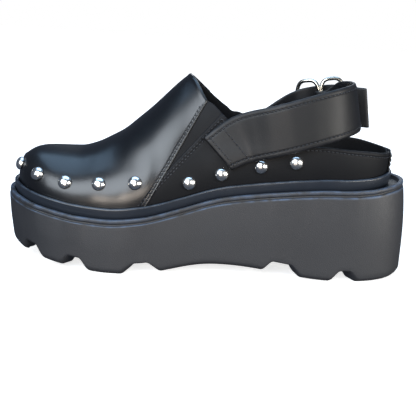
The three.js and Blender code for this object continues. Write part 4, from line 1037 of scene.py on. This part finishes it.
def prism(name, outline, low, high):
    """Cutter with an outline of (back, up) points, between two distances outward."""
    n = len(outline)
    points = [at_buckle(back, out, up) for out in (low, high) for back, up in outline]
    faces = [tuple(range(n)), tuple(range(n, 2 * n))]
    faces += [(k, (k + 1) % n, n + (k + 1) % n, n + k) for k in range(n)]
    return cutter_of(name, points, faces)


prong_eye, prong_half = BAR_RADIUS + GAP, PRONG_WIDTH / 4
slot_rear = prong_eye + 2 * prong_half + GAP
slot_half = PRONG_WIDTH / 2 + GAP
strap_long = sheet("heel_strap_long", long_grid, thick, STRAP, "strap_leather",
                   padded_edge(long_grid, 0.35, 1.2, 2.2), 0.8)
cut(strap_long, [prism("slot", [(-2 * fold_reach, -slot_half), (slot_rear, -slot_half),
                                (slot_rear, slot_half), (-2 * fold_reach, slot_half)],
                       -2 * fold_reach, 2 * fold_reach)])
strap_short = sheet("heel_strap_short", short_grid, SHORT_STRAP_THICKNESS, STRAP, "strap_leather",
                    padded_edge(short_grid, 0.3, 1.1, 2), 0.8)
punches = []
for hole in range(5):
    back = (hole - 0.5) * PUNCH_PITCH
    level = lerp(over_fold, under_ring, min(1, abs(back) / RING_LENGTH))
    round_hole = [(back + PUNCH_RADIUS * math.cos(a), PUNCH_RADIUS * math.sin(a))
                  for a in np.linspace(0, 2 * math.pi, 20, endpoint=False)]
    punches.append(prism(f"punch_{hole}", round_hole, level - 3, level + 3))
cut(strap_short, punches)
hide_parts("strap_long")
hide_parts("strap_short")
stitched = long_grid[:fold_start - STEPS]
for side in ("low", "high"):
    sew(line_at(stitched, side, 2.2, STRAP_THICKNESS / 2 - 0.1), 2, 0)
    sew(line_at(short_grid[:-4], side, 2, SHORT_STRAP_THICKNESS / 2 - 0.1), 1, 1)
sew(line_at(stitched, "start", 2.2, STRAP_THICKNESS / 2), 2, 2)
sew(line_at(stitched, "start", 12.5, STRAP_THICKNESS / 2), 2, 2)
for distance in (2, 11):
    sew(line_at(short_grid, "start", distance, SHORT_STRAP_THICKNESS / 2), 2, 2)


# %% [markdown]
# ## Buckle and prong
# The buckle is bent from round wire: two rings side by side that share the middle bar, and
# a prong with an eye round that bar. A bevelled curve would do for one ring. Tubes made
# from points let the rings flare outwards over the straps, and the prong can be thick at
# its eye and thin along its shank.

# %% Wire loops for the buckle and its prong
def tube(points, radius, sides, closed, across=outward):
    points = np.asarray(points)
    if closed:
        tangents = unit(np.roll(points, -1, axis=0) - np.roll(points, 1, axis=0))
    else:
        tangents = unit(np.gradient(points, axis=0))
    a = unit(across - tangents * (tangents @ across)[:, None])
    b = np.cross(tangents, a)
    turn = np.linspace(0, 2 * np.pi, sides, endpoint=False)
    radius = np.broadcast_to(radius, len(points))[:, None, None]
    rings = (points[:, None] + radius * (a[:, None] * np.cos(turn)[:, None]
                                         + b[:, None] * np.sin(turn)[:, None]))
    faces = ring_faces(len(points), sides, closed)
    if not closed:
        faces += [tuple(range(sides)), tuple(range((len(points) - 1) * sides, len(points) * sides))]
    return rings.reshape(-1, 3), faces


def joined(parts):
    points, faces, start = [], [], 0
    for more_points, more_faces in parts:
        points.append(more_points)
        faces += [tuple(start + k for k in face) for face in more_faces]
        start += len(more_points)
    return np.concatenate(points), faces


RING_SQUARE = 0.62


def ring_wire(direction):
    half = BUCKLE_HEIGHT / 2 - BAR_RADIUS
    points = []
    for angle in np.linspace(0, 2 * math.pi, 120, endpoint=False):
        c, h = math.cos(angle), math.sin(angle)
        c, h = (math.copysign(abs(v)**RING_SQUARE, v) for v in (c, h))
        back = direction * RING_LENGTH * (0.5 - 0.5 * c)
        points.append(at_buckle(back, RING_FLARE * abs(back) / RING_LENGTH, half * h))
    return tube(points, BAR_RADIUS, 18, True)


buckle = as_piece("double_ring_buckle", *joined([ring_wire(1), ring_wire(-1)]), NICKEL, "nickel")
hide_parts("buckle")

# %% Prong
eye_points = [at_buckle((prong_eye + prong_half) * math.cos(a), (prong_eye + prong_half) * math.sin(a), 0)
              for a in np.linspace(0, 2 * math.pi, 40, endpoint=False)]
eye = tube(eye_points, prong_half, 10, True, upward)
eye_turn = (prong_eye + prong_half) * math.sqrt(0.5)
hole_at = -PUNCH_PITCH / 2
over_strap = over_fold + SHORT_STRAP_THICKNESS / 2 + GAP + prong_half
over_ring = RING_FLARE + BAR_RADIUS + GAP + 2 * prong_half
shank_route = [(-eye_turn, eye_turn), (hole_at, (eye_turn + over_fold) / 2), (hole_at, over_fold),
               (hole_at * 1.25, over_strap), (2.8 * hole_at, over_ring + prong_half),
               (-RING_LENGTH - BAR_RADIUS, over_ring)]
shank_line = smooth_curve([at_buckle(back, out, 0) for back, out in shank_route], 10)
shank = tube(shank_line, prong_half * 1.6, 12, False, upward)
prong = as_piece("buckle_prong_pin", *joined([eye, shank]), NICKEL, "nickel")
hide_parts("buckle_prong")

# %% [markdown]
# ## Studs and stitches
# Both repeat, so each is one small shape that a tree of Geometry Nodes sets on points. The
# tree ends by making the copies real and giving them their material, and the result is
# turned into a plain mesh. A loop in Python could place the copies too, but in a tree the
# pitch and the thread's size stay named inputs that can be tried out by hand.

# %% Trees that set one shape on points
def thread_tree():
    tree, start, end = new_tree(
        "stitch rows", "GeometryNodeTree",
        {"Geometry": "Geometry", "Pitch": "Float", "Length": "Float", "Thickness": "Float",
         "Thread": "Material"}, {"Geometry": "Geometry"})
    curve = node(tree, "GeometryNodeMeshToCurve")
    sample = node(tree, "GeometryNodeResampleCurve", mode="LENGTH")
    tangent = node(tree, "GeometryNodeInputTangent")
    align = node(tree, "FunctionNodeAlignRotationToVector", axis="X")
    bead = node(tree, "GeometryNodeMeshUVSphere", {"Segments": 8, "Rings": 6, "Radius": 0.5})
    size = node(tree, "ShaderNodeCombineXYZ")
    place = node(tree, "GeometryNodeInstanceOnPoints")
    real = node(tree, "GeometryNodeRealizeInstances")
    smooth_faces = node(tree, "GeometryNodeSetShadeSmooth")
    paint = node(tree, "GeometryNodeSetMaterial")
    connect(tree, (start, "Geometry", curve, 0), (curve, 0, sample, "Curve"),
            (start, "Pitch", sample, "Length"), (sample, 0, place, "Points"),
            (bead, "Mesh", place, "Instance"), (tangent, 0, align, "Vector"),
            (align, 0, place, "Rotation"), (start, "Length", size, "X"),
            (start, "Thickness", size, "Y"), (start, "Thickness", size, "Z"),
            (size, 0, place, "Scale"), (place, 0, real, 0), (real, 0, smooth_faces, 0),
            (smooth_faces, 0, paint, "Geometry"), (start, "Thread", paint, "Material"),
            (paint, 0, end, 0))
    return tree


def stud_tree():
    tree, start, end = new_tree(
        "stud rows", "GeometryNodeTree",
        {"Geometry": "Geometry", "Dome": "Object", "Metal": "Material"}, {"Geometry": "Geometry"})
    dome = node(tree, "GeometryNodeObjectInfo")
    facing = node(tree, "GeometryNodeInputNamedAttribute", {"Name": "facing"},
                  data_type="FLOAT_VECTOR")
    align = node(tree, "FunctionNodeAlignRotationToVector", axis="Z")
    place = node(tree, "GeometryNodeInstanceOnPoints")
    real = node(tree, "GeometryNodeRealizeInstances")
    paint = node(tree, "GeometryNodeSetMaterial")
    connect(tree, (start, "Geometry", place, "Points"), (start, "Dome", dome, "Object"),
            (dome, "Geometry", place, "Instance"), (facing, "Attribute", align, "Vector"),
            (align, 0, place, "Rotation"), (place, 0, real, 0), (real, 0, paint, "Geometry"),
            (start, "Metal", paint, "Material"), (paint, 0, end, 0))
    return tree


def grown(name, mesh, tree, values):
    """An object whose mesh is what the tree makes of its points."""
    piece = bpy.data.objects.new(name, mesh)
    bpy.context.scene.collection.objects.link(piece)
    modifier = piece.modifiers.new("grow", "NODES")
    modifier.node_group = tree
    sockets = {item.name: item.identifier for item in tree.interface.items_tree
               if item.in_out == "INPUT"}
    for key, value in values.items():
        modifier[sockets[key]] = value
    bpy.context.view_layer.update()
    graph = bpy.context.evaluated_depsgraph_get()
    made = bpy.data.meshes.new_from_object(piece.evaluated_get(graph))
    piece.modifiers.clear()
    piece.data = made
    print(f"{name}: {len(made.polygons)} faces")
    return piece


# %% Studs
dome_turn = np.linspace(0, 0.5 * math.pi, 9)[:-1]
dome_profile = [(STUD_DIAMETER / 2, -GAP), (STUD_DIAMETER / 2, 0.1)]
dome_profile += [((STUD_DIAMETER / 2 - 0.04) * math.cos(a), 0.25 + (STUD_DOME - 0.25) * math.sin(a))
                 for a in dome_turn]
sides = 28
dome_points = [(r * math.cos(2 * math.pi * k / sides), r * math.sin(2 * math.pi * k / sides), h)
               for r, h in dome_profile for k in range(sides)]
dome_points.append((0, 0, STUD_DOME))
dome_faces = ring_faces(len(dome_profile), sides)
top = len(dome_profile) * sides
dome_faces += [(top - sides + k, top - sides + (k + 1) % sides, top) for k in range(sides)]
dome_faces.append(tuple(range(sides))[::-1])
dome = cutter_of("dome", dome_points, dome_faces)
dome.data.shade_smooth()
places, facings = [], []
for side in (1, -1):
    for at, rise in stud_rows:
        out = VAMP_STEP if at > 0.2 else QUARTER_STEP
        at = np.float64(at)
        x0 = (HALF_LENGTH - margin(at)) * at
        z = bead_top(x0 / HALF_LENGTH) + WELT_RISE + STUD_LINE * rise
        lift = z - trench_floor(x0 / HALF_LENGTH) - GAP
        x = (HALF_LENGTH - margin(at) + out + swell(lift)) * at
        dx = surface_y(x + 0.5, z, side, out) - surface_y(x - 0.5, z, side, out)
        dz = surface_y(x, z + 0.5, side, out) - surface_y(x, z - 0.5, side, out)
        facing = side * unit(np.array([-dx, 1, -dz]))
        places.append(np.array([x, float(surface_y(x, z, side, out)), z]) + facing * GAP)
        facings.append(facing)
stud_mesh = bpy.data.meshes.new("stud places")
stud_mesh.from_pydata([tuple(p * MM) for p in places], [], [])
stud_mesh.attributes.new("facing", "FLOAT_VECTOR", "POINT").data.foreach_set(
    "vector", np.array(facings, np.float32).ravel())
studs = grown("dome_studs", stud_mesh, stud_tree(), {"Dome": dome, "Metal": SILVER})
bpy.data.objects.remove(dome)
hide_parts(*[f"stud_{side}_{k}" for side in ("inner", "outer") for k in range(1, 10)])

# %% Stitches
thread_points, thread_edges = [], []
for line in stitch_lines:
    start = len(thread_points)
    thread_points += [tuple(p * MM) for p in line]
    thread_edges += [(start + k, start + k + 1) for k in range(len(line) - 1)]
thread_mesh = bpy.data.meshes.new("stitch lines")
thread_mesh.from_pydata(thread_points, thread_edges, [])
grown("stitches", thread_mesh, thread_tree(),
      {"Pitch": 2.7 * MM, "Length": 2.2 * MM, "Thickness": 0.9 * MM, "Thread": THREAD})

# %% [markdown]
# ## One body
# Leather, rubber and a fastened buckle have no joints, so every piece rides on the same
# body as the solids.

# %% One body
pieces = [o for o in bpy.context.scene.objects if o.type == "MESH" and o.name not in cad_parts]
for piece in pieces:
    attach(piece, "root")
print("pieces:", len(pieces))

# %% [markdown]
# ## Floor and light
# Polished leather shows the lamps more than its own colour. Large soft lamps above and in
# front give the broad sheen on the toe, a warm low one lights the sole, and one behind the
# heel picks out the bend of the strap. The room itself stays dim, or the black leather
# would turn grey. The floor is plain and pale, and it shines a little more with distance
# so that it has no horizon.

# %% Floor and light
floor_mesh = bpy.data.meshes.new("floor")
floor_mesh.from_pydata([(-6, -6, 0), (6, -6, 0), (6, 6, 0), (-6, 6, 0)], [], [(0, 1, 2, 3)])
floor = bpy.data.objects.new("floor", floor_mesh)
bpy.context.scene.collection.objects.link(floor)
pale = bpy.data.materials.new("pale floor")
pale.use_nodes = True
tree = pale.node_tree
paint = tree.nodes["Principled BSDF"]
for key, value in {"Base Color": (0.8, 0.8, 0.8, 1), "Roughness": 0.9, "Emission Strength": 1}.items():
    paint.inputs[key].default_value = value
spot = node(tree, "ShaderNodeTexCoord")
reach = node(tree, "ShaderNodeVectorMath", operation="LENGTH")
shine = node(tree, "ShaderNodeMapRange",
             {"From Min": 0.25, "From Max": 1.2, "To Min": 0.75, "To Max": 1})
connect(tree, (spot, "Object", reach, 0), (reach, "Value", shine, "Value"),
        (shine, "Result", paint, "Emission Color"))
floor_mesh.materials.append(pale)
floor.visible_glossy = False
floor.visible_diffuse = False

world = bpy.data.worlds.new("studio")
bpy.context.scene.world = world
world.use_nodes = True
tree = world.node_tree
tree.nodes.clear()
backdrop = node(tree, "ShaderNodeBackground", {"Color": (1, 1, 1, 1)})
room = node(tree, "ShaderNodeBackground", {"Color": (0.62, 0.74, 1, 1), "Strength": 0.1})
seen, sky_mix = node(tree, "ShaderNodeLightPath"), node(tree, "ShaderNodeMixShader")
world_end = node(tree, "ShaderNodeOutputWorld")
connect(tree, (seen, "Is Camera Ray", sky_mix, 0), (room, 0, sky_mix, 1),
        (backdrop, 0, sky_mix, 2), (sky_mix, 0, world_end, "Surface"))


def area(name, place, aim, wide, high, power, colour):
    light = bpy.data.lights.new(name, "AREA")
    light.shape, light.size, light.size_y = "RECTANGLE", wide, high
    light.energy, light.color = power, colour
    lamp = bpy.data.objects.new(name, light)
    lamp.location = place
    lamp.rotation_euler = (Vector(aim) - Vector(place)).to_track_quat("-Z", "Y").to_euler()
    bpy.context.scene.collection.objects.link(lamp)
    return lamp


area("sky", (0, -0.1, 1.3), (0, 0, 0.05), 1.6, 1.2, 15, (0.45, 0.7, 1))
area("key", (0.6, 1.2, 0.8), (0, 0, 0.05), 1.4, 0.9, 28, (0.84, 0.92, 1))
area("side", (-1.1, 0.9, 0.4), (-0.05, 0, 0.06), 0.8, 0.5, 12, (1, 0.97, 0.9))
area("back", (-0.2, -1.3, 0.7), (0, 0, 0.06), 0.9, 0.5, 3, (0.9, 0.95, 1))
area("heel", (-1.2, 0.35, 0.2), (-0.1, 0, 0.1), 0.5, 0.3, 5, (1, 0.97, 0.92))
area("glow", (0.15, 1.3, 0.12), (0.02, 0, 0.04), 0.5, 0.3, 5, (1, 0.88, 0.76))

# %% [markdown]
# ## Camera
# The camera looks at the inner side from a little above, and is rolled a few degrees. Its
# axes are written out as a matrix, because a roll is easy to get wrong with angles.

# %% Camera
tilt, roll = math.radians(13.5), math.radians(3.8)
forward = Vector((0, -math.cos(tilt), -math.sin(tilt)))
level, rising = Vector((-1, 0, 0)), Vector((0, -math.sin(tilt), math.cos(tilt)))
across = level * math.cos(roll) + rising * math.sin(roll)
upright = rising * math.cos(roll) - level * math.sin(roll)
lens = bpy.data.cameras.new("camera")
lens.sensor_width, lens.lens = 36, 68
camera = bpy.data.objects.new("camera", lens)
camera.matrix_world = Matrix.Translation(Vector((0, 0, 0.0348)) - forward * 0.55) @ Matrix(
    (across, upright, -forward)).transposed().to_4x4()
bpy.context.scene.collection.objects.link(camera)
bpy.context.scene.camera = camera
bpy.context.scene.view_settings.view_transform = "Standard"
print("camera at", [round(v, 3) for v in camera.matrix_world.translation])
